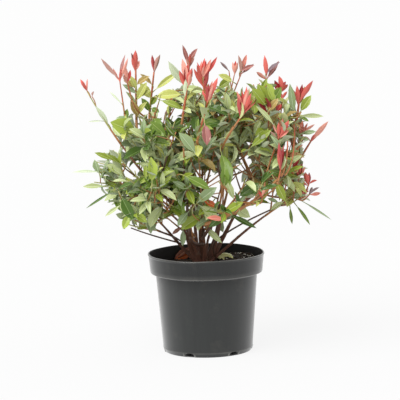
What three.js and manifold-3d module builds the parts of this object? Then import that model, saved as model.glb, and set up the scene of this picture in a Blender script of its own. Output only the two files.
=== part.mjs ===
// A potted photinia: a young evergreen shrub of many stems, its tips in red flush, in a black nursery pot.
// Millimetres, +Z up. The origin is the middle of the pot's underside, and the front of the plant faces -Y.
import * as THREE from "three";
import { mergeVertices } from "three/addons/utils/BufferGeometryUtils.js";
import Module from "manifold-3d";

const wasm = await Module();
wasm.setup();

// Pot: a thin moulded cup with a deep collar round its mouth and drain notches round its foot.
const POT_HEIGHT = 161;
const RIM_RADIUS = 95;
const COLLAR_HEIGHT = 31;
const COLLAR_FOOT_RADIUS = 91.5;
const BODY_TOP_RADIUS = 83;
const FOOT_RADIUS = 73;
const FOOT_CHAMFER = 2.5;
const POT_WALL = 1.8;
const POT_FLOOR = 2.5;
const POT_SEGMENTS = 40;
const NOTCHES = 6;
const NOTCH_BEARING = -22;
const NOTCH_WIDTH = 13;
const NOTCH_HEIGHT = 5;
const NOTCH_DEPTH = 5;

// Potting soil, lower at the wall than round the stems.
const SOIL_LEVEL = 141;
const SOIL_EDGE_DROP = 4;
const SOIL_FLAT_RADIUS = 45;

// Wood: the stool that the stems spring from, and the stems' girth.
const GAP = 0.3;
const STOOL_CENTRE = new THREE.Vector3(-5, 0, SOIL_LEVEL);
const STOOL_RING = 13;
const STOOL_FOOT_RADIUS = 22;
const STOOL_TOP_RADIUS = 11;
const STOOL_HEIGHT = 15;
const STUB_LENGTH = 34;
const STUB_FLARE = 1.35;
const THINNEST_STEM = 1.7;
const GIRTH_BY_HEIGHT = 0.0088;
const SIDE_BOUGH_GIRTH = 0.62;
const BOUGH_TIP_RADIUS = 1.5;
const SHOOT_TIP_RADIUS = 0.8;
const SIDE_SHOOT_RADIUS = 1.2;

// How a stem bows: the tall ones run almost straight, the low ones rise first and then arch over, and those
// that leave another bough lean out first and then rise.
const LOW_HEIGHT = 210;
const TALL_HEIGHT = 500;
const LOW_BOW = { out: 0.46, up: 0.66 };
const TALL_BOW = { out: 0.48, up: 0.52 };
const SIDE_BOW = { out: 0.58, up: 0.42 };

// The boughs. from and fork: the bough that carries it and how far along, or the stool if it has none.
// bearing: round from the front, right of it positive. reach and height: where its leading shoot ends,
// out from the pot's axis and up from the floor. bare: the share of its length that is wood with no leaves.
// sideShoots: given only for a bough that has fewer of them than the rest.
const BOUGHS = [
  { name: "crest", bearing: -75, reach: 30, height: 478, bare: 0.28 },
  { name: "top_front", from: "crest", fork: 0.2, bearing: 28, reach: 88, height: 460, bare: 0.24 },
  { name: "front", bearing: -4, reach: 146, height: 376, bare: 0.36 },
  { name: "front_low", from: "front", fork: 0.26, bearing: 26, reach: 146, height: 292, bare: 0.3 },
  { name: "right_low", bearing: 80, reach: 170, height: 266, bare: 0.6 },
  { name: "top_right", bearing: 82, reach: 94, height: 468, bare: 0.3 },
  { name: "right_high", bearing: 88, reach: 168, height: 430, bare: 0.4 },
  { name: "right_front", from: "right_high", fork: 0.26, bearing: 54, reach: 156, height: 368, bare: 0.32 },
  { name: "right", from: "right_high", fork: 0.32, bearing: 104, reach: 184, height: 346, bare: 0.3 },
  { name: "back_right_high", bearing: 134, reach: 136, height: 436, bare: 0.36 },
  {
    name: "back_right", from: "back_right_high", fork: 0.24,
    bearing: 142, reach: 184, height: 330, bare: 0.3,
  },
  { name: "back_low", bearing: 168, reach: 158, height: 262, bare: 0.45 },
  { name: "back_high", bearing: 178, reach: 96, height: 456, bare: 0.34 },
  { name: "back", from: "back_high", fork: 0.22, bearing: -168, reach: 182, height: 354, bare: 0.28 },
  { name: "back_left_high", bearing: -136, reach: 138, height: 430, bare: 0.36 },
  {
    name: "back_left", from: "back_left_high", fork: 0.24,
    bearing: -124, reach: 184, height: 322, bare: 0.3,
  },
  { name: "left", bearing: -90, reach: 178, height: 310, bare: 0.36 },
  { name: "left_low", from: "left", fork: 0.26, bearing: -60, reach: 126, height: 228, bare: 0.34 },
  { name: "top_left", bearing: -78, reach: 124, height: 472, bare: 0.34 },
  {
    name: "far_left", from: "top_left", fork: 0.28,
    bearing: -94, reach: 188, height: 428, bare: 0.56, sideShoots: 0,
  },
  { name: "left_front", bearing: -50, reach: 146, height: 388, bare: 0.36 },
  {
    name: "left_front_low", from: "left_front", fork: 0.26,
    bearing: -36, reach: 156, height: 300, bare: 0.3,
  },
];

// Shoots: each mass of foliage has one leading shoot and side shoots round it, by a seeded rule.
const SEED = 26;
const GOLDEN_ANGLE = 137.5;
const SIDE_SHOOTS = 8;
const SIDE_SHOOTS_FROM = 0.02;
const SIDE_SHOOTS_TO = 0.74;
const SIDE_SHOOT_LEAN = [42, 62];
const SIDE_SHOOT_LENGTH = [52, 84];
const SIDE_SHOOT_SHORTENS = 0.4;
const SIDE_SHOOT_LIFT = 0.22;

// Leaves, numbered from a shoot's tip. Only one in LEAF_STRIDE is made, and old ones are enlarged to fill
// the crown. One that doesn't fit is tried again closer to its shoot or smaller.
const TIP_LEAVES = 5;
const TIP_SPACING = 2.5;
const LEAF_SPACING = 8.5;
const LEAFLESS_FOOT = 9;
const LEAF_STRIDE = 3;
const LEAF_TRIES = [
  { scale: 1, closed: 1 },
  { scale: 1, closed: 0.6 },
  { scale: 0.8, closed: 0.8 },
  { scale: 0.75, closed: 0.4 },
  { scale: 0.6, closed: 0.6 },
];
const OLD_LEAF = { length: 43, slimness: 0.43, spread: 68, enlarged: 1.38 };
const YOUNG_LEAF = { length: 31, slimness: 0.34, spread: 20, enlarged: 1 };
const LEAF_LENGTH_VARIES = 0.28;
const LEAF_SPREAD_VARIES = 22;
const LEAF_THICKNESS = 0.014;
const LEAF_FOLD = 0.16;
const LEAF_ARCH = 0.13;
const LEAF_SHOULDER = 0.8;
const LEAF_FACES_OUT = 1.8;
const LEAF_FACES_UP = 0.4;
const MOST_CROSSING = 1;

// The crown's outline, a rounded block round the pot's axis, which no leaf leaves.
const CROWN_REACH = 217;
const CROWN_TOP = 512;
const CROWN_FOOT = 166;
const CROWN_MIDDLE = 320;
const CROWN_SQUARENESS = 4;

// Room kept between the masses, and between a leaf and the wood and pot.
const BETWEEN_MASSES = 1.4;
const CLEAR_OF_WOOD = 1.2;
const CLEAR_OF_POT = 3;
const SMALLEST_DETAIL = 0.02;

const lerp = THREE.MathUtils.lerp;
const radians = THREE.MathUtils.degToRad;

const potPlastic = new THREE.MeshStandardMaterial({ color: 0x2b2c2b, roughness: 0.5, metalness: 0 });
const pottingSoil = new THREE.MeshStandardMaterial({ color: 0x2a1d15, roughness: 0.95, metalness: 0 });
const bark = new THREE.MeshStandardMaterial({ color: 0x5a3a2a, roughness: 0.8, metalness: 0 });
const foliage = new THREE.MeshStandardMaterial({ color: 0x5f8a3c, roughness: 0.5, metalness: 0 });

// A closed geometry as a solid that can be joined and cut.
function solidOf(geometry) {
  const bare = geometry.clone();
  bare.deleteAttribute("normal");
  bare.deleteAttribute("uv");
  const merged = mergeVertices(bare);
  return new wasm.Manifold(
    new wasm.Mesh({
      numProp: 3,
      vertProperties: merged.getAttribute("position").array,
      triVerts: new Uint32Array(merged.index.array),
    }),
  );
}

// A solid's main body as a geometry, with sealed hollows filled and loose scraps dropped.
function geometryOf(solid) {
  const bodies = solid.simplify(SMALLEST_DETAIL).decompose();
  const main = bodies.reduce((a, b) => (a.volume() > b.volume() ? a : b));
  const mesh = main.getMesh();
  const geometry = new THREE.BufferGeometry();
  geometry.setAttribute("position", new THREE.BufferAttribute(mesh.vertProperties, mesh.numProp));
  geometry.setIndex(new THREE.BufferAttribute(mesh.triVerts, 1));
  geometry.computeVertexNormals();
  return geometry;
}

function namedMesh(name, geometry, material) {
  const mesh = new THREE.Mesh(geometry, material);
  mesh.name = name;
  return mesh;
}

// Seeded numbers from 0 to 1.
function seeded(seed) {
  const span = 4294967296;
  let state = (seed * 2654435761) % span;
  return () => {
    state = (1664525 * state + 1013904223) % span;
    return state / span;
  };
}

// A profile of [radius, height] points turned round the upright axis.
function turned(profile) {
  const points = profile.map(([radius, height]) => new THREE.Vector2(radius, height));
  return new THREE.LatheGeometry(points, POT_SEGMENTS).rotateX(Math.PI / 2);
}

// Pot

const collarFoot = POT_HEIGHT - COLLAR_HEIGHT;
const lip = POT_WALL / 2;

function potGeometry() {
  const profile = [
    [0, 0],
    [FOOT_RADIUS - FOOT_CHAMFER, 0],
    [FOOT_RADIUS, FOOT_CHAMFER],
    [BODY_TOP_RADIUS, collarFoot - POT_WALL],
    [COLLAR_FOOT_RADIUS, collarFoot],
    [RIM_RADIUS, POT_HEIGHT - lip],
    [RIM_RADIUS - lip, POT_HEIGHT],
    [RIM_RADIUS - POT_WALL - lip, POT_HEIGHT],
    [COLLAR_FOOT_RADIUS - POT_WALL, collarFoot + POT_WALL],
    [BODY_TOP_RADIUS - POT_WALL, collarFoot],
    [FOOT_RADIUS - POT_WALL, POT_FLOOR],
    [0, POT_FLOOR],
  ];
  const notches = [];
  for (let i = 0; i < NOTCHES; i++) {
    const notch = new THREE.BoxGeometry(2 * NOTCH_DEPTH, NOTCH_WIDTH, 2 * NOTCH_HEIGHT);
    notch.translate(FOOT_RADIUS, 0, 0);
    notch.rotateZ(radians(NOTCH_BEARING - 90 + (360 * i) / NOTCHES));
    notches.push(solidOf(notch));
  }
  return geometryOf(solidOf(turned(profile)).subtract(wasm.Manifold.union(notches)));
}

function soilGeometry() {
  const collarSlope = (RIM_RADIUS - COLLAR_FOOT_RADIUS) / COLLAR_HEIGHT;
  const edge = SOIL_LEVEL - SOIL_EDGE_DROP;
  const collarInside = COLLAR_FOOT_RADIUS - POT_WALL + (edge - collarFoot - POT_WALL) * collarSlope;
  return turned([
    [0, POT_FLOOR + GAP],
    [FOOT_RADIUS - POT_WALL - 2 * GAP, POT_FLOOR + GAP],
    [BODY_TOP_RADIUS - POT_WALL - GAP, collarFoot + GAP],
    [COLLAR_FOOT_RADIUS - POT_WALL - 2 * GAP, collarFoot + POT_WALL + GAP],
    [collarInside - 2 * GAP, edge],
    [SOIL_FLAT_RADIUS, SOIL_LEVEL],
    [0, SOIL_LEVEL],
  ]);
}

// Wood

// A tapering limb along a curve: a cylinder of unit size whose rings are moved onto the curve.
function limbGeometry(curve, radiusAt, sides, steps) {
  const geometry = new THREE.CylinderGeometry(1, 1, 1, sides, steps);
  const frames = curve.computeFrenetFrames(steps, false);
  const place = geometry.getAttribute("position");
  for (let i = 0; i < place.count; i++) {
    const step = Math.round((place.getY(i) + 0.5) * steps);
    const share = step / steps;
    const radius = radiusAt(share);
    const point = curve.getPointAt(share);
    point.addScaledVector(frames.normals[step], radius * place.getX(i));
    point.addScaledVector(frames.binormals[step], -radius * place.getZ(i));
    place.setXYZ(i, point.x, point.y, point.z);
  }
  return geometry;
}

// The stretch of a bow between two shares of its length, as a bow of its own.
function stretch(bow, from, to) {
  const [a, b] = [bow.getUtoTmapping(from), bow.getUtoTmapping(to)];
  const middle = new THREE.Vector3()
    .addScaledVector(bow.v0, (1 - a) * (1 - b))
    .addScaledVector(bow.v1, (1 - a) * b + a * (1 - b))
    .addScaledVector(bow.v2, a * b);
  return new THREE.QuadraticBezierCurve3(bow.getPoint(a), middle, bow.getPoint(b));
}

// The curve, girth and stretches of each bough, in the order of the list, so that a carrier comes first.
function layOutBoughs() {
  const fromStool = BOUGHS.filter((bough) => !bough.from);
  const laid = new Map();
  BOUGHS.forEach((bough, index) => {
    const bearing = radians(bough.bearing);
    const tip = new THREE.Vector3(
      bough.reach * Math.sin(bearing),
      -bough.reach * Math.cos(bearing),
      bough.height,
    );
    const carrier = laid.get(bough.from);
    const start = carrier ? carrier.curve.getPointAt(bough.fork) : stoolPlace(bough, fromStool);
    const tallness = THREE.MathUtils.clamp((bough.height - LOW_HEIGHT) / (TALL_HEIGHT - LOW_HEIGHT), 0, 1);
    const out = carrier ? SIDE_BOW.out : lerp(LOW_BOW.out, TALL_BOW.out, tallness);
    const up = carrier ? SIDE_BOW.up : lerp(LOW_BOW.up, TALL_BOW.up, tallness);
    const bend = new THREE.Vector3(
      lerp(start.x, tip.x, out),
      lerp(start.y, tip.y, out),
      lerp(start.z, tip.z, up),
    );
    const curve = new THREE.QuadraticBezierCurve3(start, bend, tip);
    const girth = THINNEST_STEM + (bough.height - SOIL_LEVEL) * GIRTH_BY_HEIGHT;
    const footRadius = carrier ? Math.max(BOUGH_TIP_RADIUS, girth * SIDE_BOUGH_GIRTH) : girth;
    laid.set(bough.name, {
      ...bough,
      index,
      carrier,
      curve,
      across: new THREE.Vector3(Math.cos(bearing), Math.sin(bearing), 0),
      length: curve.getLength(),
      radiusAt: (share) => lerp(footRadius, BOUGH_TIP_RADIUS, Math.min(1, share / bough.bare)),
    });
  });
  return laid;
}

// Stems from the stool stand round a ring, each on the side that it leans to.
function stoolPlace(bough, fromStool) {
  const bearings = fromStool.map((stem) => stem.bearing).sort((a, b) => a - b);
  const order = bearings.indexOf(bough.bearing);
  const bearing = radians(bearings[0] + (360 * order) / bearings.length);
  const offset = new THREE.Vector3(Math.sin(bearing), -Math.cos(bearing), 0).multiplyScalar(STOOL_RING);
  return offset.add(STOOL_CENTRE);
}

const boughs = layOutBoughs();

// The stool: a low woody foot fused with the first stretch of every stem, cut flat on the soil.
function stoolGeometry() {
  const pieces = [];
  const foot = new THREE.CylinderGeometry(STOOL_TOP_RADIUS, STOOL_FOOT_RADIUS, 2 * STOOL_HEIGHT, 10);
  pieces.push(solidOf(foot.rotateX(Math.PI / 2).translate(STOOL_CENTRE.x, STOOL_CENTRE.y, SOIL_LEVEL)));
  for (const bough of boughs.values()) {
    if (bough.carrier) continue;
    const end = STUB_LENGTH / bough.length;
    const radiusAt = (share) => bough.radiusAt(share * end) * lerp(STUB_FLARE, 1, share);
    pieces.push(solidOf(limbGeometry(stretch(bough.curve, 0, end), radiusAt, 6, 2)));
  }
  const below = new THREE.BoxGeometry(6 * STOOL_FOOT_RADIUS, 6 * STOOL_FOOT_RADIUS, 4 * STOOL_HEIGHT);
  below.translate(0, 0, SOIL_LEVEL + GAP - 2 * STOOL_HEIGHT);
  return geometryOf(wasm.Manifold.union(pieces).subtract(solidOf(below)));
}

// One bough, from its stub or its carrier's side to where it enters its foliage.
function boughGeometry(bough) {
  const begin = bough.carrier ? 0 : (STUB_LENGTH + GAP) / bough.length;
  const radiusAt = (share) => bough.radiusAt(lerp(begin, bough.bare, share));
  const limb = limbGeometry(stretch(bough.curve, begin, bough.bare), radiusAt, 6, 4);
  if (!bough.carrier) return limb;
  const carrier = bough.carrier;
  const around = (share) => carrier.radiusAt(share * carrier.bare) + GAP;
  const keepOff = limbGeometry(stretch(carrier.curve, 0, carrier.bare), around, 6, 4);
  return geometryOf(solidOf(limb).subtract(solidOf(keepOff)));
}

// Foliage

// Points along each mass's leading shoot, which mark out its space, and along all the bare wood.
const STEPS_ALONG = 14;
const leadersAt = new Map();
const woodAt = [];
for (const bough of boughs.values()) {
  const points = [];
  for (let i = 0; i <= STEPS_ALONG; i++) {
    const share = i / STEPS_ALONG;
    points.push(bough.curve.getPointAt(lerp(bough.bare, 1, share)));
    const along = share * bough.bare;
    woodAt.push({ point: bough.curve.getPointAt(along), radius: bough.radiusAt(along) });
  }
  leadersAt.set(bough.name, points);
}

const nearest = (points, place) => Math.min(...points.map((point) => point.distanceTo(place)));

function insideCrown(place) {
  const out = Math.hypot(place.x, place.y) / CROWN_REACH;
  const end = place.z > CROWN_MIDDLE ? CROWN_TOP : CROWN_FOOT;
  const up = (place.z - CROWN_MIDDLE) / (end - CROWN_MIDDLE);
  return out ** CROWN_SQUARENESS + up ** CROWN_SQUARENESS < 1;
}

// True if every one of these places is in the mass's own space and clear of wood, soil and pot.
function fits(bough, places) {
  return places.every((place) => {
    if (!insideCrown(place)) return false;
    const outOfPot = Math.hypot(place.x, place.y) > RIM_RADIUS + CLEAR_OF_POT;
    if (place.z < POT_HEIGHT + CLEAR_OF_POT && !outOfPot) return false;
    const toOwn = nearest(leadersAt.get(bough.name), place) + BETWEEN_MASSES;
    for (const [name, points] of leadersAt) {
      if (name !== bough.name && nearest(points, place) < toOwn) return false;
    }
    return woodAt.every(({ point, radius }) => point.distanceTo(place) > radius + CLEAR_OF_WOOD);
  });
}

// A direction that leaves a shoot at an angle from its run, turned round it from the bough's sideways line.
function leaving(tangent, across, turn, angle) {
  const first = across.clone().addScaledVector(tangent, -across.dot(tangent)).normalize();
  const second = tangent.clone().cross(first);
  const radial = first.multiplyScalar(Math.cos(turn)).addScaledVector(second, Math.sin(turn));
  return tangent.clone().multiplyScalar(Math.cos(angle)).addScaledVector(radial, Math.sin(angle)).normalize();
}

// The leading shoot of a mass and the side shoots that leave it in a spiral and turn up.
function shootsOf(bough, random) {
  const leader = stretch(bough.curve, bough.bare + GAP / bough.length, 1);
  const shoots = [{ curve: leader, radius: BOUGH_TIP_RADIUS, phase: random() * 360 }];
  const sideShoots = bough.sideShoots ?? SIDE_SHOOTS;
  for (let i = 0; i < sideShoots; i++) {
    const share = lerp(SIDE_SHOOTS_FROM, SIDE_SHOOTS_TO, (i + random()) / sideShoots);
    const turn = radians(shoots[0].phase + i * GOLDEN_ANGLE);
    const lean = radians(lerp(SIDE_SHOOT_LEAN[0], SIDE_SHOOT_LEAN[1], random()));
    const fullLength = lerp(SIDE_SHOOT_LENGTH[0], SIDE_SHOOT_LENGTH[1], random());
    const length = fullLength * (1 - SIDE_SHOOT_SHORTENS * share);
    const phase = random() * 360;
    const start = leader.getPointAt(share);
    const direction = leaving(leader.getTangentAt(share), bough.across, turn, lean);
    const bend = start.clone().addScaledVector(direction, length / 2);
    const tip = start.clone().addScaledVector(direction, length);
    tip.z += SIDE_SHOOT_LIFT * length;
    const curve = new THREE.QuadraticBezierCurve3(start, bend, tip);
    shoots.push({ curve, radius: SIDE_SHOOT_RADIUS, phase });
  }
  return shoots;
}

// The leaves of one shoot from its tip down: a crowded upright tuft, then wider, longer leaves in a spiral.
function leavesOf(shoot, across, random) {
  const length = shoot.curve.getLength();
  const leaves = [];
  let down = 0;
  for (let number = 0; length - down > LEAFLESS_FOOT; number++) {
    const age = THREE.MathUtils.clamp((number - TIP_LEAVES / 2) / TIP_LEAVES, 0, 1);
    const vary = (amount) => amount * (random() - 0.5);
    const size = lerp(YOUNG_LEAF.length, OLD_LEAF.length, age) * (1 + vary(LEAF_LENGTH_VARIES));
    const spread = lerp(YOUNG_LEAF.spread, OLD_LEAF.spread, age) + vary(LEAF_SPREAD_VARIES);
    const share = 1 - down / length;
    const bladeLength = size * lerp(YOUNG_LEAF.enlarged, OLD_LEAF.enlarged, age);
    leaves.push({
      root: shoot.curve.getPointAt(share),
      tangent: shoot.curve.getTangentAt(share),
      across,
      turn: radians(shoot.phase + number * GOLDEN_ANGLE),
      spread: radians(spread),
      length: bladeLength,
      width: bladeLength * lerp(YOUNG_LEAF.slimness, OLD_LEAF.slimness, age),
    });
    down += number < TIP_LEAVES ? TIP_SPACING : LEAF_SPACING;
  }
  return leaves;
}

// A leaf: a three-sided spindle drawn out to a blade with a keel below, its edges lifted, arched to its tip.
function leafGeometry(leaf, { scale, closed }) {
  const geometry = new THREE.SphereGeometry(1, 3, 3);
  const spread = leaf.spread * closed;
  const direction = leaving(leaf.tangent, leaf.across, leaf.turn, spread);
  const upperSide = leaving(leaf.tangent, leaf.across, leaf.turn, spread - Math.PI / 2);
  upperSide.x += (LEAF_FACES_OUT * leaf.root.x) / CROWN_REACH;
  upperSide.y += (LEAF_FACES_OUT * leaf.root.y) / CROWN_REACH;
  upperSide.z += LEAF_FACES_UP;
  upperSide.addScaledVector(direction, -upperSide.dot(direction)).normalize();
  const side = upperSide.clone().cross(direction);
  const length = leaf.length * scale;
  const place = geometry.getAttribute("position");
  const widest = Math.max(...place.array.filter((value, i) => i % 3 === 2));
  for (let i = 0; i < place.count; i++) {
    const along = ((place.getY(i) + 1) / 2) ** LEAF_SHOULDER;
    const outward = ((place.getZ(i) / widest) * leaf.width * scale) / 2;
    const keel = Math.min(0, place.getX(i)) * LEAF_THICKNESS * length;
    const lift = keel + LEAF_FOLD * Math.abs(outward) - LEAF_ARCH * length * along * along;
    const point = leaf.root
      .clone()
      .addScaledVector(direction, along * length)
      .addScaledVector(side, outward)
      .addScaledVector(upperSide, lift);
    place.setXYZ(i, point.x, point.y, point.z);
  }
  return geometry;
}

// Places spread over a leaf's blade, to test it against its neighbours.
function placesOn(geometry, root) {
  const place = geometry.getAttribute("position");
  const places = [];
  for (let i = 0; i < place.count; i++) {
    const corner = new THREE.Vector3().fromBufferAttribute(place, i);
    for (const share of [0.4, 0.7, 1]) places.push(root.clone().lerp(corner, share));
  }
  return places;
}

// One mass: the shoots that fit its space, with their leaves, fused into one body.
function massGeometry(bough) {
  const random = seeded(SEED + bough.index);
  const twigs = [];
  const blades = [];
  for (const shoot of shootsOf(bough, random)) {
    const leaves = leavesOf(shoot, bough.across, random);
    if (twigs.length && !fits(bough, shoot.curve.getSpacedPoints(6).slice(1))) continue;
    const radiusAt = (share) => lerp(shoot.radius, SHOOT_TIP_RADIUS, share);
    twigs.push(solidOf(limbGeometry(shoot.curve, radiusAt, 3, twigs.length ? 2 : 6)));
    leaves.forEach((leaf, number) => {
      if (number % LEAF_STRIDE) return;
      const shapes = LEAF_TRIES.map((way) => leafGeometry(leaf, way));
      const clear = shapes.filter((shape) => fits(bough, placesOn(shape, leaf.root))).map(solidOf);
      const crosses = (blade) => blades.some((other) => blade.intersect(other).volume() > MOST_CROSSING);
      const blade = clear.find((tried) => !crosses(tried));
      if (blade) blades.push(blade);
    });
  }
  return geometryOf(wasm.Manifold.union([...twigs, ...blades]));
}

// The plant in its pot

const plant = new THREE.Group();
plant.add(namedMesh("pot", potGeometry(), potPlastic));
plant.add(namedMesh("potting_soil", soilGeometry(), pottingSoil));
plant.add(namedMesh("stem_stool", stoolGeometry(), bark));
for (const bough of boughs.values()) {
  plant.add(namedMesh("bough_" + bough.name, boughGeometry(bough), bark));
  plant.add(namedMesh("foliage_" + bough.name, massGeometry(bough), foliage));
}

export default plant;
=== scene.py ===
import itertools

import bpy
import numpy as np
from mathutils import Matrix


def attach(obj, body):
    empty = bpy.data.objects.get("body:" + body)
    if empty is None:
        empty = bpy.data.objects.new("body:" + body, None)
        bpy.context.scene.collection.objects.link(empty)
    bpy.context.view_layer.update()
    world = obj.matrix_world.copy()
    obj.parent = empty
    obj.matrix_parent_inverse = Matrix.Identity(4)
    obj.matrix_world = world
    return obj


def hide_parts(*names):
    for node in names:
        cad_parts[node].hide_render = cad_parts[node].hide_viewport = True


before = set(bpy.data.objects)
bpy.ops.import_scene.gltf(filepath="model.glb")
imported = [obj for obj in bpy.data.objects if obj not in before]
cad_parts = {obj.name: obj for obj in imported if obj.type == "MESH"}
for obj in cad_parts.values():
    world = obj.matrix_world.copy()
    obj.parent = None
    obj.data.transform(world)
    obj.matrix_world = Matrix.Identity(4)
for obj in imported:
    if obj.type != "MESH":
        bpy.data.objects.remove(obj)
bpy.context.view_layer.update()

# Studio
# A plain pale floor that runs out of view, an even white surround and one very soft light, like a bright
# ceiling, above the viewer's left. The camera stands well back and looks slightly down. Sizes are in mm.
MM = 0.001
IMAGE_PIXELS = 400
CAMERA_PLACE = np.array([-8.0, -4144.0, 848.4])
CAMERA_AIM = np.array([-8.0, 0.0, 247.4])
CAMERA_ROLL = 1.25
LENS = 231.6
SENSOR = 36.0
FLOOR_SPAN = 60000.0
SURROUND_STRENGTH = 0.95
LAMP_PLACE = np.array([-1300.0, -1500.0, 2500.0])
LAMP_SPREAD = 50.0
LAMP_STRENGTH = 3.25
WHITE = "#FFFFFF"

scene = bpy.context.scene
scene.view_settings.view_transform = "Standard"


def unit(vectors):
    """Each vector along the last axis, at length one."""
    return vectors / np.linalg.norm(vectors, axis=-1, keepdims=True)


def linear(colour):
    """An sRGB hex colour as linear red, green, blue and a full alpha."""
    srgb = np.array([int(colour[i : i + 2], 16) for i in (1, 3, 5)]) / 255
    return (*np.where(srgb <= 0.04045, srgb / 12.92, ((srgb + 0.055) / 1.055) ** 2.4), 1.0)


def facing(right, up, place):
    """The matrix of a camera or lamp that stands at place with those two axes and looks along their third."""
    matrix = np.identity(4)
    matrix[:3] = np.stack([right, up, np.cross(right, up), place * MM], axis=1)
    return Matrix(matrix.tolist())


def aimed(place, aim):
    """The level axis, the upward axis and the line of sight of something at place that looks at aim."""
    ahead = unit(aim - place)
    level = unit(np.cross(ahead, [0.0, 0.0, 1.0]))
    return level, np.cross(level, ahead), ahead


level, upright, camera_ahead = aimed(CAMERA_PLACE, CAMERA_AIM)
tip_over = np.radians(CAMERA_ROLL)
camera_right = level * np.cos(tip_over) - upright * np.sin(tip_over)
camera_up = upright * np.cos(tip_over) + level * np.sin(tip_over)
camera = bpy.data.objects.new("camera", bpy.data.cameras.new("camera"))
camera.data.lens = LENS
camera.data.sensor_width = SENSOR
camera.matrix_world = facing(camera_right, camera_up, CAMERA_PLACE)
scene.collection.objects.link(camera)
scene.camera = camera

surround = bpy.data.worlds.new("white_surround")
surround.use_nodes = True
backdrop = surround.node_tree.nodes["Background"]
backdrop.inputs["Color"].default_value = linear(WHITE)
backdrop.inputs["Strength"].default_value = SURROUND_STRENGTH
scene.world = surround

ceiling = bpy.data.objects.new("soft_ceiling", bpy.data.lights.new("soft_ceiling", "SUN"))
ceiling.data.angle = np.radians(LAMP_SPREAD)
ceiling.data.energy = LAMP_STRENGTH
lamp_level, lamp_up, _ = aimed(LAMP_PLACE, CAMERA_AIM)
ceiling.matrix_world = facing(lamp_level, lamp_up, LAMP_PLACE)
scene.collection.objects.link(ceiling)


def new_material(name, roughness, ior):
    """A material of one surface with that roughness and IOR, its node tree and its shader."""
    material = bpy.data.materials.new(name)
    material.use_nodes = True
    shader = material.node_tree.nodes["Principled BSDF"]
    shader.inputs["Roughness"].default_value = roughness
    shader.inputs["IOR"].default_value = ior
    return material, material.node_tree, shader


# White light table: it glows by itself and scatters little, so the floor is pale and its shadows stay faint.
FLOOR_GLOW = 0.86
TABLE_GREY = "#4C4C4C"
light_table, _, shader = new_material("white_light_table", roughness=1.0, ior=1.5)
shader.inputs["Base Color"].default_value = linear(TABLE_GREY)
shader.inputs["Specular IOR Level"].default_value = 0.0
shader.inputs["Emission Color"].default_value = linear(WHITE)
shader.inputs["Emission Strength"].default_value = FLOOR_GLOW

# Where the pot stands on it the table gives no light: a plain round patch, just smaller than the pot's foot.
SHADED_RADIUS = 69.5
SHADED_RISE = 0.05
SHADED_SIDES = 96
SHADED_WHITE = "#B8B8B8"
shaded_table, _, shader = new_material("shaded_white_table", roughness=1.0, ior=1.5)
shader.inputs["Base Color"].default_value = linear(SHADED_WHITE)

quarter = np.array([1.0, 3.0, 5.0, 7.0]) * np.pi / 4
round_about = 2 * np.pi * np.arange(SHADED_SIDES) / SHADED_SIDES
sheet = FLOOR_SPAN / np.sqrt(2) * np.stack([np.cos(quarter), np.sin(quarter), 0 * quarter], axis=1)
patch = np.stack([np.cos(round_about), np.sin(round_about), 0 * round_about], axis=1) * SHADED_RADIUS
patch = patch + [0, 0, SHADED_RISE]
floor_mesh = bpy.data.meshes.new("floor")
floor_points = np.concatenate([sheet, patch]) * MM
floor_mesh.from_pydata(floor_points.tolist(), [], [range(4), range(4, 4 + SHADED_SIDES)])
floor_mesh.materials.append(light_table)
floor_mesh.materials.append(shaded_table)
floor_mesh.polygons[1].material_index = 1
floor = bpy.data.objects.new("floor", floor_mesh)
scene.collection.objects.link(floor)

# Pot
# A common nursery pot: one thin cup of black polypropylene, injection moulded, with a deep collar round the
# mouth for lifting and six drain notches arched out of the foot.
POT_HEIGHT = 161.0
RIM_RADIUS = 95.0
RIM_BEAD = 0.6
COLLAR_HEIGHT = 31.0
COLLAR_FOOT_RADIUS = 91.5
BODY_TOP_RADIUS = 83.0
FOOT_RADIUS = 73.0
FOOT_CHAMFER = 2.5
POT_WALL = 1.8
POT_INNER_FLOOR = 8.0
POT_SIDES = 480
NOTCHES = 6
NOTCH_BEARING = -25.0
NOTCH_WIDTH = 17.0
NOTCH_HEIGHT = 7.0
NOTCH_DEPTH = 14.0
NOTCH_SQUARENESS = 4
NOTCH_LIP = 1.5
NOTCH_LIP_PLACE = 1.15
NOTCH_LIP_SPREAD = 0.14
NOTCH_LIP_HEIGHT = 8.0
FOOT_BEAD = 0.7
FOOT_BEAD_RISE = 4.2
OUT_OF_ROUND = 0.5
OVAL_WAVES = ((2, 0.6, 1.0), (5, 2.0, 0.5))
WAVY_RIM = 0.45
RIM_WAVES = ((3, 0.4, 1.0), (7, 1.1, 0.5))
# Pale edge lines, partly chafing and partly painted highlight: how far they reach and how strong they are on
# each edge.
WEAR_AND_HIGHLIGHT_REACH = 1.2
FOOT_WEAR_AND_HIGHLIGHT, COLLAR_WEAR_AND_HIGHLIGHT, RIM_WEAR_AND_HIGHLIGHT, LIP_WEAR_AND_HIGHLIGHT = 0.2, 0.45, 0.3, 1.3
ROUNDING_STEPS = 5
HAIR = 0.01
POT_BLACK = "#080909"
POT_WORN = "#1A1D1C"
POT_DUST = "#34322C"
# Paler grey of the body lower down, above which the collar keeps a painted shade.
POT_BELOW_SHADE_GREY = "#383B3A"
# Pale grey of the edge lines, partly chafing and partly painted highlight.
POT_SCUFF_AND_HIGHLIGHT = "#B4B2AA"
# Inside: near black with brown peat stains, darker than the outside as painted shade in the pot's hollow.
POT_INSIDE = "#0C0C0B"
POT_STAIN = "#1C1611"


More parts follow.
